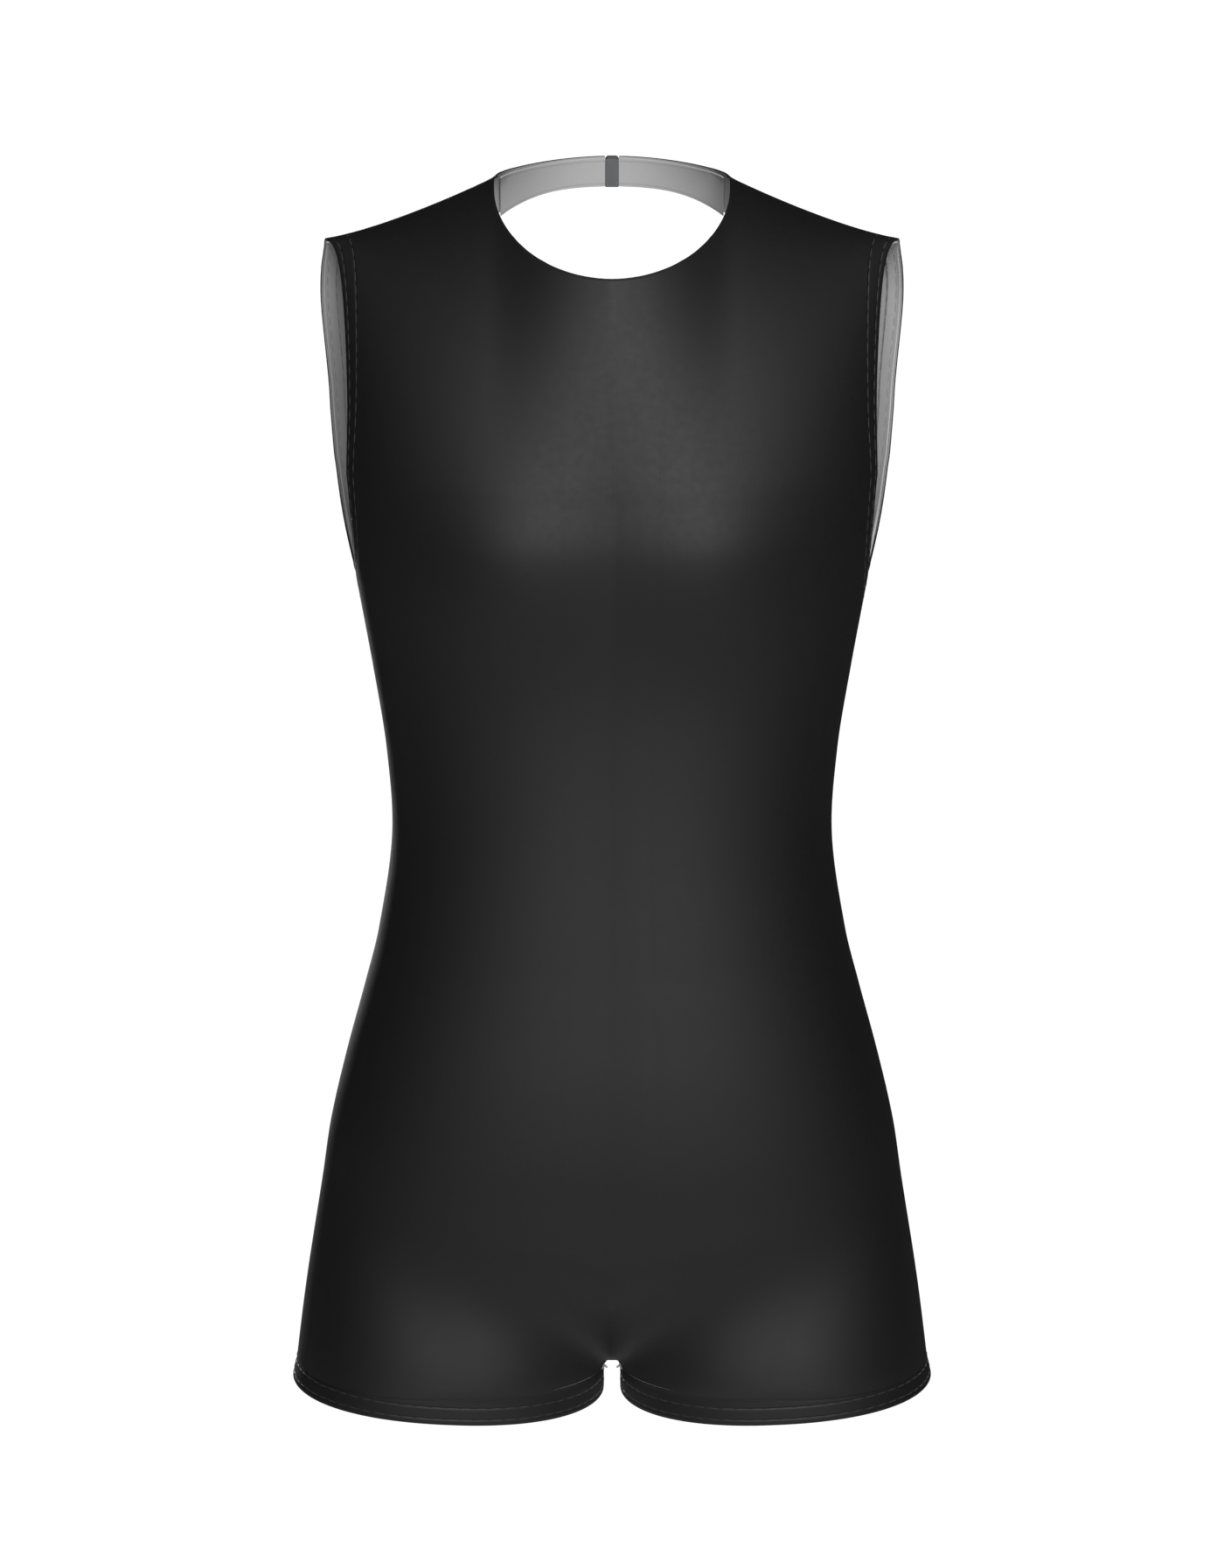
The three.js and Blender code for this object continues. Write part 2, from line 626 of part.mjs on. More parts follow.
// ---------------------------------------------------------------- assembly

const finish = (color, roughness) => new THREE.MeshStandardMaterial({ color, roughness, metalness: 0 })
const blackKnit = finish(0x101012, 0.55)
const greyKnit = finish(0x9a9a9c, 0.8)
const elasticBand = finish(0xd8d8d6, 0.75)
const claspPlastic = finish(0x5b5c60, 0.45)

const leotard = new THREE.Group()

function addPiece(name, solid, material) {
  const { vertProperties, triVerts, numProp } = solid.getMesh()
  const geometry = new THREE.BufferGeometry()
  const positions = []
  for (let k = 0; k < vertProperties.length; k += numProp) {
    positions.push(...vertProperties.slice(k, k + 3))
  }
  geometry.setAttribute('position', new THREE.Float32BufferAttribute(positions, 3))
  geometry.setIndex(Array.from(triVerts))
  geometry.computeVertexNormals()
  const mesh = new THREE.Mesh(geometry, material)
  mesh.name = name
  leotard.add(mesh)
}

function addPair(name, solid, material) {
  addPiece(`${name}_left`, solid, material)
  addPiece(`${name}_right`, mirror(solid), material)
}

addPiece('front_panel', frontPanel(), blackKnit)
addPair('back_panel', backPanel(), blackKnit)
addPair('neckband', neckband(), blackKnit)
addPair('leg_hem', legHem(), greyKnit)
addPair('leg_elastic', legElastic(), elasticBand)
addPair('armhole_hem', armholeHem(), greyKnit)
addPair('armhole_elastic', armholeElastic(), elasticBand)
addPiece('front_neck_elastic', neckElastic(), elasticBand)
addPiece('keyhole_elastic', keyholeElastic(), elasticBand)
addPair('neckband_elastic', bandElastic(), elasticBand)
addPair('neckband_facing', bandFacing(), greyKnit)
addPair('side_seam', sideSeam(), greyKnit)
addPair('shoulder_seam', shoulderSeam(), greyKnit)
addPair('inseam', inseam(), greyKnit)
addPiece('centre_back_seam', centreBackSeam(), greyKnit)
addPiece('crotch_lining', crotchLining(), greyKnit)
addPiece('clasp_eye', claspEye(), claspPlastic)
addPiece('clasp_hook', claspHook(), claspPlastic)

export default leotard
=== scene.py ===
"""A black gymnastics leotard with short legs, an open keyhole back and a clasp at the nape.

Cloth is made as fine grids over one body form, in millimetres, and becomes metres in each mesh.
x = 0 is the plane between the two sides, +X is the wearer's left and the front faces -Y.
"""
import math

import bpy
import numpy as np
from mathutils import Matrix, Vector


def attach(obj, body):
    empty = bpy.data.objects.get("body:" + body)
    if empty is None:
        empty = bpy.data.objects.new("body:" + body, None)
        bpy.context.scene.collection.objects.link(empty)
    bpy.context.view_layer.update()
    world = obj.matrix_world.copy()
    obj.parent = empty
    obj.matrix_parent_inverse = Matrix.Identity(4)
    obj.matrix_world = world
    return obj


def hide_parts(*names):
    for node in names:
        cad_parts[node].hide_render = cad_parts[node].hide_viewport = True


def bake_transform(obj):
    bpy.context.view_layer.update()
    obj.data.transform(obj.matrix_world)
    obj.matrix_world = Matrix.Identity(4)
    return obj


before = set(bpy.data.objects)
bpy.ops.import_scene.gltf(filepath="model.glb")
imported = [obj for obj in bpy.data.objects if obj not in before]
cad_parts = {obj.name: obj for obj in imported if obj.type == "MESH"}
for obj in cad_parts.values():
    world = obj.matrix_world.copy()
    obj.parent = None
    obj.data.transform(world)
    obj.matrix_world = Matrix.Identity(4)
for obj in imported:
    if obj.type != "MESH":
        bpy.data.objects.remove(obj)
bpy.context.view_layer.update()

MM = 0.001

# ---------------------------------------------------------------- sizes, in millimetres

LENGTH = 673.0  # leg hem to the point where shoulder and neck meet
WIDTH = 353.0  # over both leg hems
DEPTH = 220.0  # chest to seat
FABRIC = 0.8
LAYER_GAP = 0.3
ELASTIC = 0.6
HEM_WIDTH = 9.5
ELASTIC_WIDTH = 6.0
SEAM_WIDTH = 6.0
LEG_GAP = 9.0
CROTCH_HEIGHT = 19.4
CROTCH_RISE = 78.0
HEM_RISE = 8.7
ROOF_START = 0.7727 * LENGTH
SHOULDER_Y = 8.0
SHOULDER_TIP_X = 0.4448 * WIDTH
SHOULDER_TIP_Z = 0.9522 * LENGTH
SHOULDER_DIP = 1.42
NECK_X = 0.18 * WIDTH
NECK_RISE = 50.0
NECK_DROP = 41.0
NECK_TOP = LENGTH - 2
NAPE_TOP = LENGTH + 5.9
NAPE_SIDE = LENGTH + 1.4
BAND_HEIGHT = 16.0
ARMHOLE_TILT = math.radians(30)
ARMHOLE_HALF = (0.3636 * DEPTH / 2, 0.2273 * LENGTH / 2)
ARMHOLE_MIDDLE = (math.cos(ARMHOLE_TILT) * SHOULDER_TIP_Z - math.sin(ARMHOLE_TILT) * SHOULDER_TIP_X
                  + 2.5 - ARMHOLE_HALF[1])
ARMHOLE_LEAN = 0.03
ARMHOLE_Y = 4.0
BACK_SPREAD = 0.125
KEYHOLE_HALF_WIDTH = 0.2493 * WIDTH
KEYHOLE_WIDEST = 0.832 * LENGTH
KEYHOLE_HALF_HEIGHT = (NAPE_TOP - BAND_HEIGHT - KEYHOLE_WIDEST, KEYHOLE_WIDEST - 0.6538 * LENGTH)
BAND_ROOT_X = 0.787 * NECK_X
BAND_END_X = 4.25
TAB_REACH = 5.0  # how far each half of the clasp is sewn under its band end
BUST_X, BUST_Z = 0.165 * WIDTH, 0.715 * LENGTH
BUST_REACH, BUST_WIDE, BUST_TALL = 10.0, 0.14 * WIDTH, 0.0684 * LENGTH
TRUNK_SQUARE, LEG_SQUARE, CHEST_ROUND, BACK_ROUND = 2.25, 2.2, 1.6, 1.8

STITCH_ROWS = (3.0, 9.4)  # distances of the twin needle's two rows from a hem's edge
STITCH_PITCH = 8.1
STITCH_LENGTH = 6.6
THREAD = 0.42  # thickness of the sewing thread

# Height, half width, front depth and back depth of the body form, as shares of the overall sizes.
FORM = np.array([
    (0.0, 0.504, 0.425, 0.423),
    (0.09, 0.482, 0.425, 0.480),
    (0.182, 0.454, 0.450, 0.527),
    (0.23, 0.440, 0.462, 0.536),
    (0.286, 0.415, 0.460, 0.505),
    (0.344, 0.385, 0.446, 0.442),
    (0.39, 0.363, 0.434, 0.391),
    (0.47, 0.341, 0.418, 0.350),
    (0.54, 0.348, 0.414, 0.373),
    (0.606, 0.367, 0.425, 0.414),
    (0.72, 0.405, 0.472, 0.448),
    (0.775, 0.420, 0.470, 0.450),
])

# ---------------------------------------------------------------- camera and surroundings


def make_camera():
    camera = bpy.data.objects.new("camera", bpy.data.cameras.new("camera"))
    camera.data.sensor_fit = "VERTICAL"
    camera.data.sensor_height = 36.0
    camera.data.lens = 134.34
    camera.location = (0.0, -3.13007, 1.00832)
    camera.rotation_euler = (math.radians(78), 0.0, 0.0)
    bpy.context.collection.objects.link(camera)
    bpy.context.scene.camera = camera


def soft_light(name, place, target, size, power):
    """A rectangular softbox at a place in metres, turned towards a target."""
    lamp = bpy.data.lights.new(name, "AREA")
    lamp.shape = "RECTANGLE"
    lamp.size, lamp.size_y = size
    lamp.energy = power
    light = bpy.data.objects.new(name, lamp)
    light.location = place
    aim = np.array(target) - np.array(place)
    light.rotation_mode = "QUATERNION"
    light.rotation_quaternion = Vector(aim).to_track_quat("-Z", "Y")
    bpy.context.collection.objects.link(light)


def make_surroundings():
    """White studio: a bright background seen directly, and a weak even fill on the cloth."""
    world = bpy.data.worlds.new("studio")
    world.use_nodes = True
    nodes, links = world.node_tree.nodes, world.node_tree.links
    nodes.clear()
    path = nodes.new("ShaderNodeLightPath")
    seen = nodes.new("ShaderNodeBackground")
    seen.inputs["Color"].default_value = (1.0, 1.0, 1.0, 1.0)
    seen.inputs["Strength"].default_value = 1.05
    fill = nodes.new("ShaderNodeBackground")
    fill.inputs["Color"].default_value = (0.97, 0.98, 1.0, 1.0)
    fill.inputs["Strength"].default_value = 0.02
    choose = nodes.new("ShaderNodeMixShader")
    output = nodes.new("ShaderNodeOutputWorld")
    links.new(path.outputs["Is Camera Ray"], choose.inputs[0])
    links.new(fill.outputs[0], choose.inputs[1])
    links.new(seen.outputs[0], choose.inputs[2])
    links.new(choose.outputs[0], output.inputs["Surface"])
    bpy.context.scene.world = world
    bpy.context.scene.view_settings.view_transform = "Standard"

    soft_light("key_softbox", (0.30, -2.7, 1.7), (0.0, 0.0, 0.40), (1.2, 1.2), 125)
    soft_light("back_softbox", (-0.5, 2.7, 0.35), (0.0, 0.0, 0.4), (1.2, 0.6), 80)

    floor = bpy.data.meshes.new("floor")
    reach, level = 1.3, -0.75
    floor.from_pydata([(-reach, -reach, level), (reach, -reach, level),
                       (reach, reach, level), (-reach, reach, level)], [], [(0, 1, 2, 3)])
    ground = bpy.data.objects.new("floor", floor)
    bpy.context.collection.objects.link(ground)
    pale = bpy.data.materials.new("pale_floor")
    pale.use_nodes = True
    shader = pale.node_tree.nodes["Principled BSDF"]
    shader.inputs["Base Color"].default_value = (0.86, 0.86, 0.86, 1.0)
    shader.inputs["Roughness"].default_value = 0.9
    floor.materials.append(pale)


make_camera()
make_surroundings()

# ---------------------------------------------------------------- materials


class Shader:
    """A material under construction: its node tree, with short calls for the usual nodes."""

    def __init__(self, name):
        self.material = bpy.data.materials.new(name)
        self.material.use_nodes = True
        self.tree = self.material.node_tree
        self.surface = self.tree.nodes["Principled BSDF"]

    def node(self, kind, **settings):
        made = self.tree.nodes.new(kind)
        for key, value in settings.items():
            setattr(made, key, value)
        return made

    def feed(self, value, socket):
        if isinstance(value, (int, float)):
            socket.default_value = value
        else:
            self.tree.links.new(value, socket)

    def math(self, operation, a, b=0.0, c=0.0, clamp=False):
        made = self.node("ShaderNodeMath", operation=operation, use_clamp=clamp)
        for value, socket in zip((a, b, c), made.inputs):
            self.feed(value, socket)
        return made.outputs[0]

    def drive(self, socket, value):
        self.tree.links.new(value, self.surface.inputs[socket])

    def wave(self, phase, turns):
        """A sine from 0 to 1, with its phase multiplied by some number of radians."""
        sine = self.math("SINE", self.math("MULTIPLY", phase, turns))
        return self.math("MULTIPLY_ADD", sine, 0.5, 0.5)

    def attribute(self, name):
        return self.node("ShaderNodeAttribute", attribute_name=name).outputs["Fac"]

    def uv(self):
        split = self.node("ShaderNodeSeparateXYZ")
        layer = self.node("ShaderNodeUVMap", uv_map="cloth")
        self.tree.links.new(layer.outputs[0], split.inputs[0])
        return split.outputs[0], split.outputs[1]

    def noise(self, scale, detail=3.0):
        place = self.node("ShaderNodeTexCoord")
        made = self.node("ShaderNodeTexNoise")
        made.inputs["Scale"].default_value = scale
        made.inputs["Detail"].default_value = detail
        self.tree.links.new(place.outputs["Object"], made.inputs["Vector"])
        return made.outputs["Fac"]

    def blend(self, factor, dark, light):
        made = self.node("ShaderNodeMix", data_type="RGBA")
        self.feed(factor, made.inputs[0])
        for value, socket in ((dark, made.inputs[6]), (light, made.inputs[7])):
            if isinstance(value, tuple):
                socket.default_value = (*value, 1.0)
            else:
                self.tree.links.new(value, socket)
        return made.outputs[2]

    def ridge(self, distance, centre, width):
        """1 at a distance from an edge, falling to 0 at half the width on both sides."""
        away = self.math("ABSOLUTE", self.math("SUBTRACT", distance, centre * MM))
        return self.math("SUBTRACT", 1.0, self.math("DIVIDE", away, width / 2 * MM), clamp=True)

    def bump(self, height, depth):
        """Relief of a height from 0 to 1, its full depth given in millimetres."""
        made = self.node("ShaderNodeBump")
        made.inputs["Strength"].default_value = 1.0
        made.inputs["Distance"].default_value = depth * MM
        self.tree.links.new(height, made.inputs["Height"])
        self.tree.links.new(made.outputs[0], self.surface.inputs["Normal"])


def tint(colour, share):
    return tuple(share * c for c in colour)


def knit_height(shader, wale, course):
    """The face of a jersey knit: columns of V-shaped loops, a wale wide and a course tall."""
    across, along = shader.uv()
    column = shader.math("FRACT", shader.math("DIVIDE", across, wale * MM))
    slope = shader.math("ABSOLUTE", shader.math("SUBTRACT", column, 0.5))
    phase = shader.math("ADD", shader.math("DIVIDE", along, course * MM), slope)
    loops = shader.wave(phase, 2 * math.pi)
    groove = shader.math("POWER", shader.math("MULTIPLY", slope, 2.0), 6.0)
    return shader.math("SUBTRACT", loops, groove)


def black_knit(name, base=(0.0012, 0.0012, 0.0013)):
    """Outside of the stretch knit: deep black, a soft broad sheen and a hem with two sewn rows. Its colour
    carries painted shade along the stitch rows, at the seams and between the loops.
    """
    shader = Shader(name)
    knit = knit_height(shader, 0.62, 0.5)
    patchy = shader.noise(9.0, 4.0)
    light = tint(base, 1.5)
    yarn = shader.blend(patchy, base, light)
    # painted shade and highlight: the loops' colour is lighter on their crests and darker in the grooves
    # between wales, following the bump height
    loops = shader.blend(shader.math("MULTIPLY", knit, 0.5, clamp=True), yarn, tint(base, 2.1))
    edge = shader.attribute("edge")
    seam = shader.attribute("seam")
    hem = shader.attribute("hem")
    sewn = shader.math("MAXIMUM", shader.ridge(hem, STITCH_ROWS[0], 1.6),
                       shader.ridge(hem, STITCH_ROWS[1], 1.6))
    fold = shader.math("SUBTRACT", 1.0, shader.math("DIVIDE", edge, 1.1 * MM), clamp=True)
    pinch = shader.math("SUBTRACT", 1.0, shader.math("DIVIDE", seam, 1.6 * MM), clamp=True)
    # painted shade: the colour darkens along the two stitch rows and at the seams, where the bump sinks them
    dark = shader.math("MULTIPLY", shader.math("MAXIMUM", sewn, pinch), 0.55)
    colour = shader.blend(dark, loops, tint(base, 0.35))
    shader.drive("Base Color", colour)
    rough = shader.math("MULTIPLY_ADD", shader.noise(240.0, 2.0), 0.08, 0.60)
    shader.drive("Roughness", rough)
    shader.surface.inputs["Specular IOR Level"].default_value = 0.42
    dips = shader.math("MAXIMUM", shader.math("MAXIMUM", sewn, fold), pinch)
    height = shader.math("SUBTRACT", shader.math("MULTIPLY", knit, 0.06), dips)
    shader.bump(height, 0.30)
    return shader.material


def grey_knit(name, base=(0.40, 0.40, 0.405)):
    """Inside of the knit: light grey brushed loops, with painted shade in a thin line near the edge, along
    the inner stitch row and between the loops.
    """
    shader = Shader(name)
    knit = knit_height(shader, 0.7, 0.62)
    lint = shader.noise(420.0, 3.0)
    patchy = shader.noise(14.0, 3.0)
    dark = tint(base, 0.82)
    yarn = shader.blend(patchy, dark, base)
    # painted shade and highlight: the loops' colour is a little lighter on their crests and darker in the
    # grooves between wales
    loops = shader.blend(shader.math("MULTIPLY", knit, 0.45, clamp=True), yarn, tint(base, 1.1))
    edge = shader.attribute("edge")
    # painted shade: a darker line 1.6 mm in from the edge and another along the inner stitch row
    rim = shader.math("MULTIPLY", shader.ridge(edge, 1.6, 1.2), 0.45)
    sewn = shader.math("MULTIPLY", shader.ridge(shader.attribute("hem"), STITCH_ROWS[1], 1.4), 0.35)
    colour = shader.blend(shader.math("MAXIMUM", rim, sewn), loops, tint(base, 0.45))
    shader.drive("Base Color", colour)
    rough = shader.math("MULTIPLY_ADD", lint, 0.12, 0.76)
    shader.drive("Roughness", rough)
    shader.surface.inputs["Specular IOR Level"].default_value = 0.25
    shader.surface.inputs["Sheen Weight"].default_value = 0.12
    shader.surface.inputs["Sheen Roughness"].default_value = 0.5
    height = shader.math("ADD", shader.math("MULTIPLY", knit, 0.5), shader.math("MULTIPLY", lint, 0.5))
    shader.bump(height, 0.09)
    return shader.material


def woven_elastic(name, base=(0.62, 0.62, 0.60)):
    """Covered elastic: cords side by side along the band, crossed by a fine weft, its colour darker where the
    weave lies low: painted shade.
    """
    shader = Shader(name)
    across, along = shader.uv()
    edge = shader.attribute("edge")
    cords = shader.wave(edge, 2 * math.pi / (0.75 * MM))
    turn = shader.math("ADD", across, along)
    weft = shader.wave(turn, 2 * math.pi / (0.55 * MM))
    height = shader.math("MULTIPLY_ADD", weft, 0.35, shader.math("MULTIPLY", cords, 0.65))
    # painted shade: the colour darkens where the cords and weft lie low
    yarn = shader.blend(height, tint(base, 0.55), base)
    worn = shader.blend(shader.math("MULTIPLY", shader.noise(30.0), 0.3), yarn, tint(base, 0.8))
    shader.drive("Base Color", worn)
    rough = shader.math("MULTIPLY_ADD", weft, 0.1, 0.66)
    shader.drive("Roughness", rough)
    shader.surface.inputs["Specular IOR Level"].default_value = 0.3
    shader.bump(height, 0.12)
    return shader.material


def spun_thread(name, base):
    """Polyester sewing thread: two plies whose twist shows as fine slanting grooves, darkened in the grooves
    with painted shade.
    """
    shader = Shader(name)
    place = shader.node("ShaderNodeTexCoord")
    split = shader.node("ShaderNodeSeparateXYZ")
    shader.tree.links.new(place.outputs["Object"], split.inputs[0])
    slant = shader.math("ADD", shader.math("ADD", split.outputs[0], split.outputs[1]), split.outputs[2])
    plies = shader.wave(slant, 2 * math.pi / (0.5 * MM))
    # painted shade: the thread's colour darkens in the grooves between its plies
    colour = shader.blend(plies, tint(base, 0.7), base)
    shader.drive("Base Color", colour)
    rough = shader.math("MULTIPLY_ADD", shader.noise(900.0), 0.15, 0.42)
    shader.drive("Roughness", rough)
    shader.surface.inputs["Sheen Weight"].default_value = 0.2
    shader.surface.inputs["Sheen Roughness"].default_value = 0.4
    shader.bump(plies, 0.06)
    return shader.material


def moulded_plastic(name, base=(0.105, 0.107, 0.112)):
    """Satin moulded plastic: a fine mould texture and soft handling marks."""
    shader = Shader(name)
    grain = shader.noise(2600.0, 2.0)
    marks = shader.noise(190.0, 5.0)
    colour = shader.blend(marks, tint(base, 0.82), tint(base, 1.12))
    shader.drive("Base Color", colour)
    rough = shader.math("MULTIPLY_ADD", marks, 0.22, 0.34)
    shader.drive("Roughness", rough)
    shader.bump(shader.math("MULTIPLY_ADD", grain, 0.6, shader.math("MULTIPLY", marks, 0.4)), 0.03)
    return shader.material


OUTSIDE = black_knit("black_knit")
INSIDE = grey_knit("knit_inside")
WOVEN = woven_elastic("woven_elastic")
BLACK_THREAD = spun_thread("black_thread", (0.030, 0.030, 0.032))
GREY_THREAD = spun_thread("grey_thread", (0.20, 0.20, 0.205))
PLASTIC = moulded_plastic("clasp_plastic")

# ---------------------------------------------------------------- the body form


def mix(a, b, t):
    return a + (b - a) * t


def smooth(t):
    t = np.clip(t, 0, 1)
    return t * t * (3 - 2 * t)


def form_size(z, column, scale):
    """A smooth curve through one column of FORM, at heights in millimetres."""
    heights, sizes = FORM[:, 0], FORM[:, column]
    slopes = np.empty_like(sizes)
    slopes[1:-1] = (sizes[2:] - sizes[:-2]) / (heights[2:] - heights[:-2])
    slopes[0] = (sizes[1] - sizes[0]) / (heights[1] - heights[0])
    slopes[-1] = (sizes[-1] - sizes[-2]) / (heights[-1] - heights[-2])
    share = np.clip(z / LENGTH, heights[0], heights[-1])
    k = np.clip(np.searchsorted(heights, share, side="right") - 1, 0, len(heights) - 2)
    step = heights[k + 1] - heights[k]
    t = (share - heights[k]) / step
    lift = t * (1 - t) ** 2 * step * slopes[k] - t * t * (1 - t) * step * slopes[k + 1]
    return scale * (mix(sizes[k], sizes[k + 1], t * t * (3 - 2 * t)) + lift)


def squircle(angle, power):
    """The point of a superellipse with half axes of 1 at an angle."""
    c, s = np.cos(angle), np.sin(angle)
    r = (np.abs(c) ** power + np.abs(s) ** power) ** (-1 / power)
    return r * c, r * s


def shoulder_height(x):
    from_tip = np.maximum(0, SHOULDER_TIP_X - x) / (SHOULDER_TIP_X - NECK_X)
    neck = NECK_RISE * np.maximum(0, 1 - (x / NECK_X) ** 2) ** 2
    return mix(SHOULDER_TIP_Z, LENGTH, from_tip ** SHOULDER_DIP) + neck


def form_points(side, front, place):
    """Points of the wearer's left half. side runs from 0 at the centre to 1 at the side seam and
    front is -1 or 1. place is 0 to 1 up a leg, 1 to 2 up the trunk and 2 to 3 over the roof."""
    leg, roof = np.clip(place, 0, 1), np.clip(place - 2, 0, 1)
    on_leg = place < 1
    z = np.where(on_leg, leg * CROTCH_HEIGHT, mix(CROTCH_HEIGHT, ROOF_START, np.clip(place - 1, 0, 1)))
    half = form_size(z, 1, WIDTH)
    deep = np.where(front < 0, form_size(z, 2, DEPTH), form_size(z, 3, DEPTH))
    closing = np.clip((leg - 0.7) / 0.3, 0, 1) ** 4
    inner = np.where(on_leg, LEG_GAP / 2 * np.maximum(0, 1 - closing) ** 0.25, 0)
    round_x, round_y = squircle(np.pi * (1 - side), LEG_SQUARE)
    leg_x = (half + inner) / 2 + (half - inner) / 2 * round_x
    leg_y = deep * 0.97 * round_y
    hem = HEM_RISE * (leg_x - LEG_GAP / 2) / (WIDTH / 2) - 0.02 * front * leg_y

    start = np.where(side == 0, 0, np.arctan2(leg_x, np.maximum(leg_y, 1e-6)))
    joined = np.clip((z - CROTCH_HEIGHT) / (mix(1, 1.6, side) * CROTCH_RISE), 0, 1)
    turn = np.where(side < 1, mix(start, side * np.pi / 2, smooth(joined * 0.7)), np.pi / 2)
    trunk_y, trunk_x = squircle(turn, TRUNK_SQUARE)
    arch = np.sqrt(1 - (1 - np.clip((z - CROTCH_HEIGHT) / CROTCH_RISE, 0, 1)) ** 2)
    merge = mix(smooth(joined), arch, np.maximum(0, 1 - side / 0.4) ** 2)
    x = np.where(on_leg, leg_x, mix(leg_x, half * trunk_x, merge))
    y = np.where(on_leg, front * leg_y, front * mix(leg_y, deep * trunk_y, merge))
    height = np.where(on_leg, mix(hem, CROTCH_HEIGHT, leg), z)

    round_power = np.where(front < 0, CHEST_ROUND, BACK_ROUND)
    level, up = squircle(roof * np.pi / 2, round_power)
    on_roof = place > 2
    x = np.where(on_roof, mix(half, SHOULDER_TIP_X, roof) * trunk_x, x)
    height = np.where(on_roof, mix(ROOF_START, shoulder_height(x), up), height)
    y = np.where(on_roof, SHOULDER_Y * up + y * level, y)

    away = ((x - BUST_X) / BUST_WIDE) ** 2 + ((height - BUST_Z) / BUST_TALL) ** 2
    bust = BUST_REACH * np.exp(-away) * (1 - roof)
    y = np.where((front < 0) & ~on_leg, y - bust, y)
    blade = smooth((height - 0.53 * LENGTH) / (0.34 * LENGTH)) * smooth(y / 40)
    return np.stack([x * np.where(on_leg, 1, 1 + BACK_SPREAD * blade), y, height], axis=-1)


COLUMNS = 60  # centre front to side seam, and again from there to centre back
LAST = 2 * COLUMNS
saddle = np.linspace(0, 1, 30)[1:] ** 2 * CROTCH_RISE
trunk = np.linspace(CROTCH_RISE, ROOF_START - CROTCH_HEIGHT, 128)[1:]
PLACES = np.concatenate([
    np.linspace(0, 0.94, 20), [0.965, 0.98, 0.99, 0.997, 1.0],
    1 + np.concatenate([saddle, trunk]) / (ROOF_START - CROTCH_HEIGHT),
    2 + np.linspace(0, 1, 56)[1:],
])
on_front = np.arange(LAST + 1) <= COLUMNS
sides = np.where(on_front, np.arange(LAST + 1), LAST - np.arange(LAST + 1)) / COLUMNS
points = form_points(sides[None, :], np.where(on_front, -1, 1)[None, :], PLACES[:, None])
above_crotch = PLACES >= 1


def form_normals():
    flip = np.array([-1, 1, 1])
    before, after = np.roll(points, 1, axis=1), np.roll(points, -1, axis=1)
    before[~above_crotch, 0] = points[~above_crotch, -2]
    after[~above_crotch, -1] = points[~above_crotch, 1]
    before[above_crotch, 0] = points[above_crotch, 1] * flip
    after[above_crotch, -1] = points[above_crotch, -2] * flip
    up = np.empty_like(points)
    up[1:-1] = points[2:] - points[:-2]
    up[0] = points[1] - points[0]
    up[-1] = np.where(on_front, 1, -1)[:, None] * np.array([0, 1, 0])
    normal = np.cross(after - before, up)
    normal /= np.linalg.norm(normal, axis=-1, keepdims=True) + 1e-12
    at_crotch = np.flatnonzero(PLACES == 1)[0]
    normal[at_crotch, [0, -1]] = (0, 0, -1)
    normal[at_crotch + 1:, [0, -1], 0] = 0
    return normal / np.linalg.norm(normal, axis=-1, keepdims=True)


normals = form_normals()


def square_gap():
    """Lifts the cloth between the legs into a flat bridge, so the gap has a square top."""
    start = int(np.flatnonzero(PLACES == 1)[0])
    bridge = LEG_GAP / 2 + 1
    for middle, columns in ((0, slice(0, COLUMNS + 1)), (LAST, slice(COLUMNS, None))):
        line = points[start:start + len(saddle) // 2, middle]
        here = points[:start + len(saddle), columns]
        away = np.clip(np.abs(here[..., 0]) / bridge, 0, 1) ** 4
        top = np.interp(np.abs(here[..., 1]), np.abs(line[:, 1]), line[:, 2])
        near = (np.abs(here[..., 1]) < np.abs(line[-1, 1])) & (here[..., 2] > CROTCH_HEIGHT * 0.6)
        here[..., 2] = np.where(near, mix(np.maximum(top, here[..., 2]), here[..., 2], away), here[..., 2])


square_gap()
normals = form_normals()

# ---------------------------------------------------------------- distances to edges and seams


def lengths(axis):
    """Distance walked over the form along the grid, from its first row or column."""
    step = np.linalg.norm(np.diff(points, axis=axis), axis=-1)
    return np.insert(np.cumsum(step, axis=axis), 0, 0, axis=axis)


around, upward = lengths(1), lengths(0)
from_side = np.abs(around - around[:, [COLUMNS]])
from_centre_back = around[:, [LAST]] - around
from_top = upward[[-1]] - upward
x, y, z = points[..., 0], points[..., 1], points[..., 2]


def oval_level(across, tall, power):
    return (np.abs(across) ** power + np.abs(tall) ** power) ** (1 / power) - 1


def armhole_plane(at):
    """Place across and up an armhole, seen square on."""
    tall = math.cos(ARMHOLE_TILT) * at[..., 2] - math.sin(ARMHOLE_TILT) * at[..., 0] - ARMHOLE_MIDDLE
    return at[..., 1] - ARMHOLE_LEAN * tall - ARMHOLE_Y, tall


def crossings(level, columns=slice(None)):
    """Points of the form where a field over the grid passes through zero."""
    found = []
    at, field = points[:, columns], level[:, columns]
    for axis in (0, 1):
        low, high = (np.take(field, range(field.shape[axis] - 1), axis),
                     np.take(field, range(1, field.shape[axis]), axis))
        a, b = (np.take(at, range(field.shape[axis] - 1), axis),
                np.take(at, range(1, field.shape[axis]), axis))
        hit = (low < 0) != (high < 0)
        t = (low / np.where(low == high, 1, low - high))[hit][:, None]
        found.append(mix(a[hit], b[hit], t))
    return np.concatenate(found)


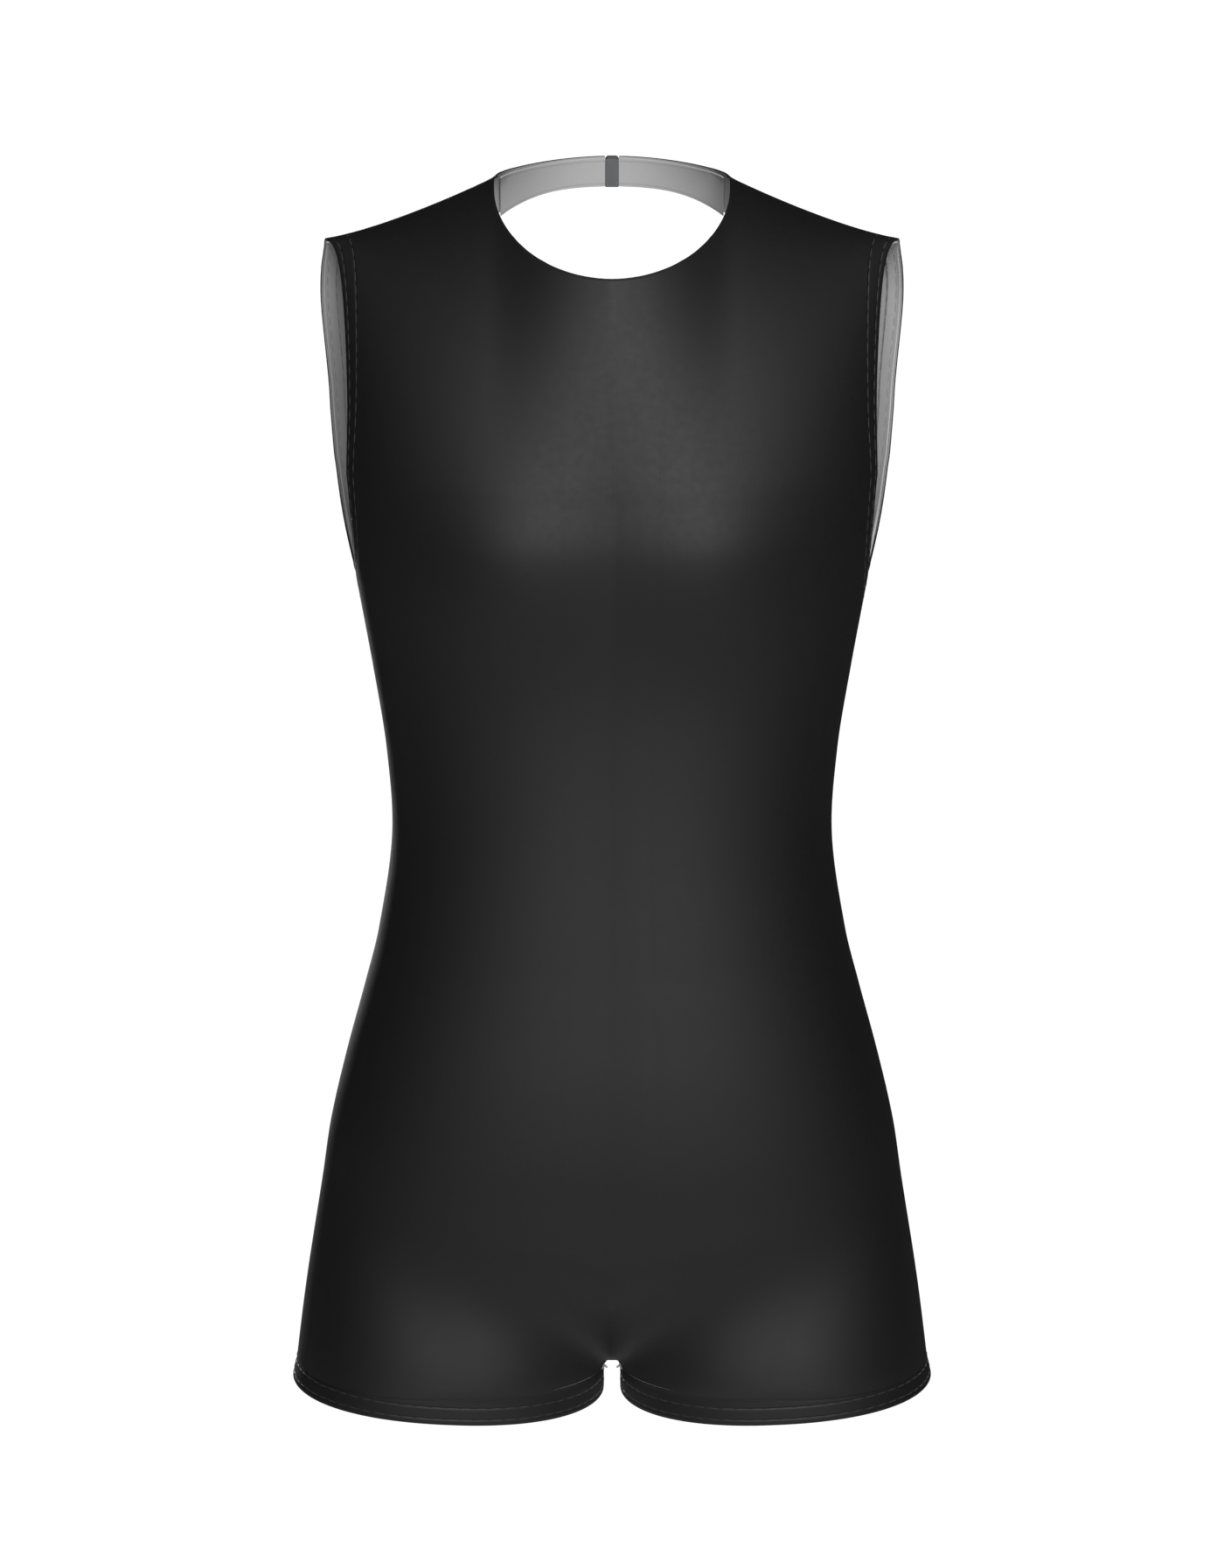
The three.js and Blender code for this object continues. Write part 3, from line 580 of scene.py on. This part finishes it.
def even_path(path, spacing, closed=False):
    """The same path with points at an even spacing, smoothed a little."""
    if closed:
        path = np.concatenate([path, path[:1]])
    for spread in (spacing * 2, spacing):
        walked = np.insert(np.cumsum(np.linalg.norm(np.diff(path, axis=0), axis=1)), 0, 0)
        at = np.linspace(0, walked[-1], max(4, int(walked[-1] / spread)))
        path = np.stack([np.interp(at, walked, path[:, k]) for k in range(path.shape[1])], axis=1)
    for _ in range(4):
        inner = (path[:-2] + 2 * path[1:-1] + path[2:]) / 4
        if closed:
            ends = (path[-2] + 2 * path[0] + path[1]) / 4
            path = np.concatenate([[ends], inner, [ends]])
        else:
            path = np.concatenate([path[:1], inner, path[-1:]])
    return path


def distance(level, path, reach=45.0):
    """Distance of every grid point to a path, negative where the level is."""
    line = even_path(path, 0.5)
    near = np.abs(points - np.clip(points, line.min(0) - reach, line.max(0) + reach)).max(-1) == 0
    result = np.full(level.shape, reach)
    targets = points[near]
    best = np.empty(len(targets))
    for k in range(0, len(targets), 1000):
        gap = targets[k:k + 1000, None] - line[None]
        best[k:k + 1000] = np.sqrt((gap ** 2).sum(-1).min(1))
    result[near] = np.minimum(best, reach)
    return np.where(level < 0, -result, result)


def by_angle(found, across, up):
    return found[np.argsort(np.arctan2(up, across))]


back_only = ~on_front[None, :]
arm_across, arm_up = armhole_plane(points)
arm_level = oval_level(arm_across / ARMHOLE_HALF[0], arm_up / ARMHOLE_HALF[1], np.where(arm_up > 0, 1.6, 2.3))
arm_hit = crossings(arm_level)
arm_loop = by_angle(arm_hit, *armhole_plane(arm_hit))
arm_distance = distance(arm_level, np.concatenate([arm_loop, arm_loop[:1]]))

neck_level = np.where(z < NECK_TOP, np.hypot(x / NECK_X, (z - NECK_TOP) / NECK_DROP) - 1, x / NECK_X - 1)
neck_hit = crossings(neck_level, slice(0, COLUMNS + 1))
neck_line = neck_hit[np.argsort(np.arctan2(neck_hit[:, 2] - NECK_TOP, neck_hit[:, 0]))]
neck_distance = distance(neck_level, np.concatenate([(neck_line * (-1, 1, 1))[::-1][-8:], neck_line]))

nape_level = np.maximum(mix(NAPE_TOP, NAPE_SIDE, np.clip(x / NECK_X, 0, 1) ** 2) - z, x - NECK_X)
nape_hit = crossings(nape_level, slice(COLUMNS, None))
nape_line = nape_hit[np.argsort(nape_hit[:, 0])]
nape_distance = distance(nape_level, nape_line)

key_up = z - KEYHOLE_WIDEST
key_half = np.where(key_up > 0, KEYHOLE_HALF_HEIGHT[0], KEYHOLE_HALF_HEIGHT[1])
key_level = oval_level(x / KEYHOLE_HALF_WIDTH, key_up / key_half, np.where(key_up > 0, 3.1, 2.2))
key_hit = crossings(key_level, slice(COLUMNS, None))
key_line = key_hit[np.argsort(np.arctan2(key_hit[:, 2] - KEYHOLE_WIDEST, key_hit[:, 0]))]
key_distance = distance(key_level, key_line)

leg_distance = distance(np.ones_like(x), points[0])

front_edge = np.minimum(np.minimum(arm_distance, neck_distance), leg_distance)
back_edge = np.minimum(np.minimum(arm_distance, key_distance), np.minimum(nape_distance, leg_distance))
edge_distance = np.where(back_only, back_edge, front_edge)
inseam = np.where(above_crotch[:, None], 45.0, np.minimum(around, around[:, [LAST]] - around))
centre_seam = np.where(back_only & (z < KEYHOLE_WIDEST), from_centre_back, 45.0)
seam_distance = np.minimum(np.minimum(from_side, from_top), np.minimum(inseam, centre_seam))

# Everything known about a grid point, in named columns. Cutting carries all of it along.
NAMES = ["x", "y", "z", "nx", "ny", "nz", "u", "v", "edge", "seam", "hem", "arm", "neck", "nape", "key",
         "leg", "side", "top", "centre", "share"]
COL = {name: k for k, name in enumerate(NAMES)}
across_front = np.where(on_front[None, :], around, from_centre_back)
data = np.stack([
    x, y, z, normals[..., 0], normals[..., 1], normals[..., 2], across_front, upward,
    edge_distance, seam_distance, np.minimum(arm_distance, leg_distance), arm_distance,
    neck_distance, nape_distance, key_distance,
    leg_distance, from_side, from_top, from_centre_back, np.broadcast_to(sides, x.shape),
], axis=-1)

# ---------------------------------------------------------------- cutting and thickening cloth


def grid(columns, rows=(0, None)):
    """The left half's points and faces over a span of columns and of rows."""
    first, last = columns
    part = data[rows[0]:rows[1], first:last + 1]
    tall, wide = part.shape[:2]
    corner = (np.arange(tall - 1)[:, None] * wide + np.arange(wide - 1)[None, :]).ravel()
    faces = np.stack([corner, corner + 1, corner + wide + 1, corner + wide], axis=1)
    return part.reshape(-1, len(NAMES)).copy(), faces.tolist()


def cut(cloth, value):
    """Keeps the part of a cloth where value is zero or more, with a clean edge."""
    rows, faces = cloth
    level = value(rows).astype(float)
    if level.min() >= 0:
        return cloth
    pairs = {tuple(sorted((f[k], f[k - 1]))) for f in faces for k in range(len(f))}
    pairs = np.array(list(pairs))
    va, vb = level[pairs[:, 0]], level[pairs[:, 1]]
    hit = (va < 0) != (vb < 0)
    pairs, va, vb = pairs[hit], va[hit], vb[hit]
    t = va / (va - vb)
    snapped = {}
    for (a, b), share in zip(pairs.tolist(), t.tolist()):
        for near, far, s in ((a, b, share), (b, a, 1 - share)):
            if s < 0.22 and s < snapped.get(near, (9, 0))[0]:
                snapped[near] = (s, far)
    moved = {k: mix(rows[k], rows[far], s) for k, (s, far) in snapped.items()}
    rows = rows.copy()
    for k, row in moved.items():
        rows[k] = row
        level[k] = 0.0
    rows, extra, made = list(rows), {}, []

    def between(a, b):
        key = (min(a, b), max(a, b))
        if key not in extra:
            extra[key] = len(rows)
            s = level[a] / (level[a] - level[b])
            rows.append(mix(rows[a], rows[b], s))
        return extra[key]

    for face in faces:
        keep = [level[k] >= 0 for k in face]
        if all(keep):
            made.append(face)
            continue
        if max(level[k] for k in face) <= 0:
            continue
        shape = []
        for k, corner in enumerate(face):
            before = face[k - 1]
            if level[before] * level[corner] < 0:
                shape.append(between(before, corner))
            if level[corner] >= 0:
                shape.append(corner)
        if len(shape) > 2:
            made.append(shape)
    return np.array(rows), made


def mirrored(cloth):
    rows, faces = cloth
    rows = rows.copy()
    for name in ("x", "nx", "u"):
        rows[:, COL[name]] *= -1
    return rows, [face[::-1] for face in faces]


def joined(*parts):
    """Several cloths as one, with the points that they share welded."""
    rows, faces, offset = [], [], 0
    for part_rows, part_faces in parts:
        rows.append(part_rows)
        faces += [[k + offset for k in face] for face in part_faces]
        offset += len(part_rows)
    rows = np.concatenate(rows)
    used = np.unique(np.concatenate([np.array(face) for face in faces]))
    place = np.round(rows[used, :3] * 100).astype(np.int64)
    _, first, same = np.unique(place, axis=0, return_index=True, return_inverse=True)
    target = np.zeros(len(rows), int)
    target[used] = same.ravel()
    welded = []
    for face in faces:
        shape = [int(target[k]) for k in face]
        shape = [k for i, k in enumerate(shape) if k != shape[i - 1]]
        if len(set(shape)) == len(shape) > 2:
            welded.append(shape)
    return rows[used][first], welded


def clear_of(name):
    return lambda rows: rows[:, COL[name]]


def beyond(name, limit):
    return lambda rows: rows[:, COL[name]] - limit


def within(name, limit):
    return lambda rows: limit - rows[:, COL[name]]


def cut_all(cloth, *values):
    for value in values:
        cloth = cut(cloth, value)
    return cloth


def make_cloth(name, cloth, depth, thickness, outer, inner, shift=None):
    """A closed piece of cloth with rounded edges, its outer face at a depth under the form."""
    rows, faces = joined(cloth)
    place, normal = rows[:, :3].copy(), rows[:, 3:6]
    normal = normal / (np.linalg.norm(normal, axis=1, keepdims=True) + 1e-12)
    if shift is not None:
        place += shift(rows)
    count = len(rows)
    outside, inside = place - normal * depth, place - normal * (depth + thickness)
    directed = {(face[k - 1], face[k]) for face in faces for k in range(len(face))}
    border = [pair for pair in directed if (pair[1], pair[0]) not in directed]
    out = np.zeros((count, 3))
    for a, b in border:
        run = place[b] - place[a]
        away = np.cross(run, normal[a] + normal[b])
        away /= np.linalg.norm(away) + 1e-12
        out[a] += away
        out[b] += away
    on_border = sorted({k for pair in border for k in pair})
    rim = {k: 2 * count + i for i, k in enumerate(on_border)}
    width = np.linalg.norm(out[on_border], axis=1, keepdims=True) + 1e-12
    middle = (outside + inside)[on_border] / 2 + out[on_border] / width * thickness * 0.35
    vertices = np.concatenate([outside, inside, middle]) * MM
    shapes = list(faces)
    shapes += [[k + count for k in reversed(face)] for face in faces]
    split = len(shapes)
    for a, b in border:
        shapes.append([b, a, rim[a], rim[b]])
        shapes.append([rim[b], rim[a], a + count, b + count])
    mesh = bpy.data.meshes.new(name)
    mesh.from_pydata(vertices.tolist(), [], shapes)
    slots = np.zeros(len(shapes), np.int32)
    slots[len(faces):split] = 1
    mesh.materials.append(outer)
    mesh.materials.append(inner)
    mesh.polygons.foreach_set("material_index", slots)
    source = np.concatenate([np.arange(count), np.arange(count), np.array(on_border, int)])
    corners = np.empty(len(mesh.loops), np.int32)
    mesh.loops.foreach_get("vertex_index", corners)
    layer = mesh.uv_layers.new(name="cloth")
    uv = rows[source][:, [COL["u"], COL["v"]]] * MM
    layer.data.foreach_set("uv", uv[corners].astype(np.float32).ravel())
    for field in ("edge", "seam", "hem"):
        values = rows[source][:, COL[field]] * MM
        attribute = mesh.attributes.new(field, "FLOAT", "POINT")
        attribute.data.foreach_set("value", np.maximum(values, 0).astype(np.float32))
    mesh.validate()
    mesh.shade_smooth()
    mesh.set_sharp_from_angle(angle=math.radians(38))
    piece = bpy.data.objects.new(name, mesh)
    bpy.context.collection.objects.link(piece)
    return piece


def soft_piece(name, cloth, depth, thickness, node, body, outer, inner, shift=None):
    """Cloth that stands for a CAD node and moves with its body."""
    piece = make_cloth(name, cloth, depth, thickness, outer, inner, shift)
    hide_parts(node)
    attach(piece, body)
    return piece


# ---------------------------------------------------------------- panels

BAND_FOOT = KEYHOLE_WIDEST + DEPTH / 4  # between the keyhole's widest place and the neckband

front_half = cut_all(grid((0, COLUMNS)), clear_of("arm"), clear_of("neck"))
front_cloth = soft_piece("front_cloth", joined(front_half, mirrored(front_half)), 0, FABRIC,
                         "front_panel", "garment", OUTSIDE, INSIDE)

back_half = cut_all(grid((COLUMNS, LAST)), clear_of("arm"), clear_of("key"), clear_of("nape"))


def outside_band(rows):
    return np.where(rows[:, COL["z"]] > BAND_FOOT, rows[:, COL["x"]] - BAND_ROOT_X, 10.0)


def inside_band(rows):
    inner = np.minimum(BAND_ROOT_X - rows[:, COL["x"]], rows[:, COL["x"]] - BAND_END_X)
    return np.where(rows[:, COL["z"]] > BAND_FOOT, inner, -10.0)


back_left = cut(back_half, outside_band)
band_left = cut(back_half, inside_band)
back_cloth = {
    "left": soft_piece("back_cloth_left", back_left, 0, FABRIC, "back_panel_left", "garment",
                       OUTSIDE, INSIDE),
    "right": soft_piece("back_cloth_right", mirrored(back_left), 0, FABRIC, "back_panel_right", "garment",
                        OUTSIDE, INSIDE),
}

# ---------------------------------------------------------------- hems, elastics, seams and lining

ELASTIC_DEPTH = FABRIC + LAYER_GAP
HEM_DEPTH = ELASTIC_DEPTH + ELASTIC + LAYER_GAP
LINING_DEPTH = ELASTIC_DEPTH + FABRIC + LAYER_GAP
ELASTIC_LOW = (HEM_WIDTH - ELASTIC_WIDTH) / 2
NECK_MARGIN = 1.5
KEYHOLE_ELASTIC_RISE = 40.0  # how far the elastic runs up past the keyhole's widest place

whole = grid((0, LAST))
front_side, back_side = grid((0, COLUMNS)), grid((COLUMNS, LAST))


def ring(name, low, high):
    return cut_all(whole, beyond(name, low), within(name, high))


def add_both(name, cloth, depth, thickness, node, material, bodies=("garment", "garment")):
    """One piece on the wearer's left and its mirror image on the right."""
    made = []
    for hand, part, body in (("left", cloth, bodies[0]), ("right", mirrored(cloth), bodies[1])):
        made.append(soft_piece(f"{name}_{hand}", part, depth, thickness, f"{node}_{hand}", body,
                               material, material))
    return made


trimmings = []
trimmings += add_both("leg_hem_fold", ring("leg", 0, HEM_WIDTH), HEM_DEPTH, FABRIC,
                      "leg_hem", INSIDE)
trimmings += add_both("leg_elastic_band", ring("leg", ELASTIC_LOW, ELASTIC_LOW + ELASTIC_WIDTH),
                      ELASTIC_DEPTH, ELASTIC, "leg_elastic", WOVEN)
trimmings += add_both("armhole_hem_fold", ring("arm", 0, HEM_WIDTH), HEM_DEPTH, FABRIC,
                      "armhole_hem", INSIDE)
trimmings += add_both("armhole_elastic_band", ring("arm", ELASTIC_LOW, ELASTIC_LOW + ELASTIC_WIDTH),
                      ELASTIC_DEPTH, ELASTIC, "armhole_elastic", WOVEN)

neck_strip = cut_all(front_side, beyond("neck", NECK_MARGIN), within("neck", NECK_MARGIN + ELASTIC_WIDTH))
trimmings.append(soft_piece("front_neck_elastic_band", joined(neck_strip, mirrored(neck_strip)),
                            ELASTIC_DEPTH, ELASTIC, "front_neck_elastic", "garment",
                            WOVEN, WOVEN))
key_strip = cut_all(back_side, beyond("key", NECK_MARGIN), within("key", NECK_MARGIN + ELASTIC_WIDTH),
                    within("z", KEYHOLE_WIDEST + KEYHOLE_ELASTIC_RISE))
trimmings.append(soft_piece("keyhole_elastic_band", joined(key_strip, mirrored(key_strip)),
                            ELASTIC_DEPTH, ELASTIC, "keyhole_elastic", "garment",
                            WOVEN, WOVEN))

seam_half = SEAM_WIDTH / 2
side_strip = cut_all(whole, within("side", seam_half), beyond("arm", HEM_WIDTH + 2),
                     beyond("leg", HEM_WIDTH + 1))
trimmings += add_both("side_allowance", side_strip, ELASTIC_DEPTH, FABRIC, "side_seam", INSIDE)
shoulder_strip = cut_all(whole, within("top", seam_half), beyond("arm", HEM_WIDTH + 2),
                         beyond("x", NECK_X + NECK_MARGIN + ELASTIC_WIDTH + 1))
trimmings += add_both("shoulder_allowance", shoulder_strip, ELASTIC_DEPTH, FABRIC,
                      "shoulder_seam", INSIDE)
crotch_row = int(np.flatnonzero(PLACES == 1)[0])
leg_rows = (0, crotch_row - 1)
inseam_parts = [cut_all(grid(span, leg_rows), beyond("leg", HEM_WIDTH + 1), nearness)
                for span, nearness in (((0, 12), within("u", seam_half)),
                                       ((LAST - 12, LAST), within("u", seam_half)))]
trimmings += add_both("inseam_allowance", joined(*inseam_parts), ELASTIC_DEPTH, FABRIC,
                      "inseam", INSIDE)
centre_strip = cut_all(back_side, within("centre", seam_half), beyond("z", CROTCH_HEIGHT + CROTCH_RISE),
                       beyond("key", NECK_MARGIN + ELASTIC_WIDTH + 1), within("z", KEYHOLE_WIDEST))
trimmings.append(soft_piece("centre_back_allowance", joined(centre_strip, mirrored(centre_strip)),
                            ELASTIC_DEPTH, FABRIC, "centre_back_seam", "garment",
                            INSIDE, INSIDE))
gusset = cut_all(front_side, within("share", 0.25), beyond("z", CROTCH_HEIGHT + 0.02 * CROTCH_RISE),
                 within("z", CROTCH_HEIGHT + 0.7 * CROTCH_RISE))
trimmings.append(soft_piece("crotch_gusset", joined(gusset, mirrored(gusset)), LINING_DEPTH, ELASTIC,
                            "crotch_lining", "garment", INSIDE, INSIDE))

# ---------------------------------------------------------------- the neckband's two ends

TAB_THICK = 0.8
FACING_DEPTH = ELASTIC_DEPTH + TAB_THICK + 2 * LAYER_GAP
band_low = NAPE_TOP - BAND_HEIGHT + ELASTIC_WIDTH / 2
band_strip = cut_all(back_side, beyond("z", band_low), within("z", band_low + ELASTIC_WIDTH),
                     beyond("x", BAND_END_X + TAB_REACH + LAYER_GAP), within("x", BAND_ROOT_X - HEM_WIDTH))
facing_left = cut_all(back_half, beyond("z", BAND_FOOT), beyond("x", BAND_END_X),
                      within("x", NECK_X - NECK_MARGIN))
for hand, sense in (("left", 1), ("right", -1)):
    for name, cloth, depth, thickness, node, outer, inner in (
        ("nape_band", band_left, 0, FABRIC, "neckband", OUTSIDE, INSIDE),
        ("nape_elastic", band_strip, ELASTIC_DEPTH, ELASTIC, "neckband_elastic", WOVEN, WOVEN),
        ("nape_facing", facing_left, FACING_DEPTH, FABRIC, "neckband_facing", INSIDE, INSIDE),
    ):
        part = cloth if sense > 0 else mirrored(cloth)
        piece = make_cloth(f"{name}_{hand}", part, depth, thickness, outer, inner)
        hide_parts(f"{node}_{hand}")
        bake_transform(piece)

# ---------------------------------------------------------------- sewing


def node_input(tree, name, kind, value):
    socket = tree.interface.new_socket(name=name, in_out="INPUT", socket_type=kind)
    if value is not None:
        socket.default_value = value
    return socket.identifier


def start_tree(name):
    tree = bpy.data.node_groups.new(name, "GeometryNodeTree")
    tree.interface.new_socket(name="Geometry", in_out="INPUT", socket_type="NodeSocketGeometry")
    tree.interface.new_socket(name="Geometry", in_out="OUTPUT", socket_type="NodeSocketGeometry")
    return tree, tree.nodes.new("NodeGroupInput"), tree.nodes.new("NodeGroupOutput")


def stitch_tree():
    """Lays short flat stitches along a path, face up on the cloth."""
    tree, entry, leave = start_tree("row_of_stitches")
    ids = {
        "pitch": node_input(tree, "Pitch", "NodeSocketFloat", STITCH_PITCH * MM),
        "length": node_input(tree, "Stitch Length", "NodeSocketFloat", STITCH_LENGTH * MM),
        "thread": node_input(tree, "Thread Thickness", "NodeSocketFloat", THREAD * MM),
        "material": node_input(tree, "Thread Material", "NodeSocketMaterial", None),
    }
    new, link = tree.nodes.new, tree.links.new
    curve = new("GeometryNodeMeshToCurve")
    even = new("GeometryNodeResampleCurve")
    even.mode = "LENGTH"
    link(entry.outputs["Geometry"], curve.inputs["Mesh"])
    link(curve.outputs[0], even.inputs["Curve"])
    link(entry.outputs["Pitch"], even.inputs["Length"])
    ball = new("GeometryNodeMeshUVSphere")
    ball.inputs["Segments"].default_value = 8
    ball.inputs["Rings"].default_value = 6
    ball.inputs["Radius"].default_value = 0.5
    size = new("ShaderNodeCombineXYZ")
    link(entry.outputs["Stitch Length"], size.inputs[0])
    link(entry.outputs["Thread Thickness"], size.inputs[1])
    link(entry.outputs["Thread Thickness"], size.inputs[2])
    shape = new("GeometryNodeTransform")
    link(ball.outputs["Mesh"], shape.inputs["Geometry"])
    link(size.outputs[0], shape.inputs["Scale"])
    turn = new("FunctionNodeAxesToRotation")
    turn.primary_axis, turn.secondary_axis = "Z", "X"
    face = new("GeometryNodeInputNamedAttribute")
    face.data_type = "FLOAT_VECTOR"
    face.inputs["Name"].default_value = "face"
    tangent = new("GeometryNodeInputTangent")
    link(face.outputs["Attribute"], turn.inputs["Primary Axis"])
    link(tangent.outputs[0], turn.inputs["Secondary Axis"])
    sew = new("GeometryNodeInstanceOnPoints")
    link(even.outputs[0], sew.inputs["Points"])
    link(shape.outputs[0], sew.inputs["Instance"])
    link(turn.outputs[0], sew.inputs["Rotation"])
    finish_tree(tree, entry, leave, sew.outputs[0])
    return tree, ids


def thread_tree():
    """Runs one unbroken thread along a path."""
    tree, entry, leave = start_tree("running_thread")
    ids = {
        "thread": node_input(tree, "Thread Thickness", "NodeSocketFloat", THREAD * MM),
        "material": node_input(tree, "Thread Material", "NodeSocketMaterial", None),
    }
    new, link = tree.nodes.new, tree.links.new
    curve = new("GeometryNodeMeshToCurve")
    link(entry.outputs["Geometry"], curve.inputs["Mesh"])
    half = new("ShaderNodeMath")
    half.operation = "MULTIPLY"
    half.inputs[1].default_value = 0.5
    link(entry.outputs["Thread Thickness"], half.inputs[0])
    profile = new("GeometryNodeCurvePrimitiveCircle")
    profile.inputs["Resolution"].default_value = 6
    link(half.outputs[0], profile.inputs["Radius"])
    solid = new("GeometryNodeCurveToMesh")
    solid.inputs["Fill Caps"].default_value = True
    link(curve.outputs[0], solid.inputs["Curve"])
    link(profile.outputs[0], solid.inputs["Profile Curve"])
    finish_tree(tree, entry, leave, solid.outputs[0])
    return tree, ids


def finish_tree(tree, entry, leave, geometry):
    smooth_shade = tree.nodes.new("GeometryNodeSetShadeSmooth")
    real = tree.nodes.new("GeometryNodeRealizeInstances")
    paint = tree.nodes.new("GeometryNodeSetMaterial")
    tree.links.new(geometry, smooth_shade.inputs[0])
    tree.links.new(smooth_shade.outputs[0], real.inputs[0])
    tree.links.new(real.outputs[0], paint.inputs["Geometry"])
    tree.links.new(entry.outputs["Thread Material"], paint.inputs["Material"])
    tree.links.new(paint.outputs[0], leave.inputs["Geometry"])


STITCHES, STITCH_IDS = stitch_tree()
RUNNING, RUNNING_IDS = thread_tree()


def sewn(name, paths, tree, ids, values, body, slot):
    """A piece of sewing along paths of (points, face directions), made a plain mesh."""
    guide = bpy.data.meshes.new(f"{name}_guide")
    vertices, edges, faces_up = [], [], []
    for path, up, closed in paths:
        start = len(vertices)
        vertices += (path * MM).tolist()
        faces_up += up.tolist()
        edges += [(k, k + 1) for k in range(start, len(vertices) - 1)]
        if closed:
            edges.append((len(vertices) - 1, start))
    guide.from_pydata(vertices, edges, [])
    face = guide.attributes.new("face", "FLOAT_VECTOR", "POINT")
    face.data.foreach_set("vector", np.array(faces_up, np.float32).ravel())
    holder = bpy.data.objects.new(f"{name}_guide", guide)
    bpy.context.collection.objects.link(holder)
    modifier = holder.modifiers.new("sewing", "NODES")
    modifier.node_group = tree
    for key, value in values.items():
        modifier[ids[key]] = value
    evaluated = holder.evaluated_get(bpy.context.evaluated_depsgraph_get())
    mesh = bpy.data.meshes.new_from_object(evaluated)
    mesh.name = name
    bpy.data.objects.remove(holder)
    bpy.data.meshes.remove(guide)
    if not mesh.materials:
        mesh.materials.append(values["material"])
    piece = bpy.data.objects.new(name, mesh)
    bpy.context.collection.objects.link(piece)
    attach(piece, body)
    return piece


def contour(name, level, part, order):
    """An ordered line at a distance from an edge, with the form's direction at each point."""
    rows, faces = part
    value = rows[:, COL[name]] - level
    pairs = np.array(sorted({tuple(sorted((f[k], f[k - 1]))) for f in faces for k in range(len(f))}))
    va, vb = value[pairs[:, 0]], value[pairs[:, 1]]
    hit = (va < 0) != (vb < 0)
    t = (va / np.where(va == vb, 1, va - vb))[hit][:, None]
    found = mix(rows[pairs[hit, 0]], rows[pairs[hit, 1]], t)[:, :6]
    return found[np.argsort(order(found))]


def on_depth(line, depth, spacing, closed):
    even = even_path(line, spacing, closed)
    if closed:
        even = even[:-1]
    up = even[:, 3:6] / np.linalg.norm(even[:, 3:6], axis=1, keepdims=True)
    return even[:, :3] - up * depth, up, closed


def arm_order(found):
    across, up = armhole_plane(found)
    return np.arctan2(up, across)


def leg_order(found):
    return np.arctan2(found[:, 1], found[:, 0] - WIDTH / 4)


def other_side(path):
    place, up, closed = path
    return place * (-1, 1, 1), up * (-1, 1, 1), closed


def hem_rows(name, order):
    part = joined(cut_all(whole, beyond(name, 0), within(name, HEM_WIDTH + 3)))
    outer, inner = [], []
    for level in STITCH_ROWS:
        line = contour(name, level, part, order)
        outer.append(on_depth(line, 0.02, 1.5, True))
        inner.append(on_depth(line, HEM_DEPTH + FABRIC, 1.5, True))
    return outer, inner


for name, order, title in (("leg", leg_order, "leg_stitches"), ("arm", arm_order, "armhole_stitches")):
    outer, inner = hem_rows(name, order)
    for hand, pick in (("left", lambda p: p), ("right", other_side)):
        sizes = {"pitch": STITCH_PITCH * MM, "length": STITCH_LENGTH * MM, "thread": THREAD * MM}
        sewn(f"{title}_{hand}", [pick(p) for p in outer], STITCHES, STITCH_IDS,
                            {**sizes, "material": BLACK_THREAD}, "garment", "black_knit")
        sewn(f"{title}_inside_{hand}", [pick(p) for p in inner], STITCHES, STITCH_IDS,
                            {**sizes, "material": GREY_THREAD}, "garment", "knit_inside")


def zigzag(line, width, pitch, depth):
    """An overlock thread: back and forth over a seam's allowance along a line of the form."""
    even = even_path(line, pitch / 2)
    up = even[:, 3:6] / np.linalg.norm(even[:, 3:6], axis=1, keepdims=True)
    run = np.gradient(even[:, :3], axis=0)
    sideways = np.cross(run, up)
    sideways /= np.linalg.norm(sideways, axis=1, keepdims=True)
    swing = np.where(np.arange(len(even)) % 2 == 0, 1, -1)[:, None]
    return even[:, :3] - up * depth + sideways * swing * width / 2, up, False


OVERLOCK = 2.6  # pitch of one there-and-back of the overlock thread
HEM_CLEAR = 4.0  # from a sewn hem to the end of the overlock thread
EDGE_CLEAR = 11.0  # from a clean edge to the end of the overlock thread
SIDE_SEAM_TOP = 500.0
under = ELASTIC_DEPTH + FABRIC + THREAD / 3


def column_of(name, column):
    return data[:, column, COL[name]]


side_line = data[:, COLUMNS, :6][(column_of("leg", COLUMNS) > HEM_WIDTH + HEM_CLEAR - 1)
                                 & (column_of("arm", COLUMNS) > HEM_WIDTH + HEM_CLEAR)
                                 & (column_of("z", COLUMNS) < SIDE_SEAM_TOP)]
top_line = data[-1, :, :6][(data[-1, :, COL["arm"]] > HEM_WIDTH + HEM_CLEAR)
                           & (data[-1, :, COL["x"]] > NECK_X + EDGE_CLEAR) & on_front]
centre_line = data[:, LAST, :6][(column_of("z", LAST) > CROTCH_HEIGHT + CROTCH_RISE + HEM_CLEAR - 1)
                                & (column_of("key", LAST) > EDGE_CLEAR)
                                & (column_of("z", LAST) < KEYHOLE_WIDEST)]
seam_paths = []
for line in (side_line, top_line):
    path = zigzag(line, SEAM_WIDTH - 1, OVERLOCK, under)
    seam_paths += [path, other_side(path)]
seam_paths.append(zigzag(centre_line, SEAM_WIDTH - 1, OVERLOCK, under))
sewn("overlock_thread", seam_paths, RUNNING, RUNNING_IDS,
                    {"thread": 0.7 * THREAD * MM, "material": GREY_THREAD}, "garment", "knit_inside")

# ---------------------------------------------------------------- clasp

for node in ("clasp_eye", "clasp_hook"):
    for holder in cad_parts[node].material_slots:
        holder.material = PLASTIC
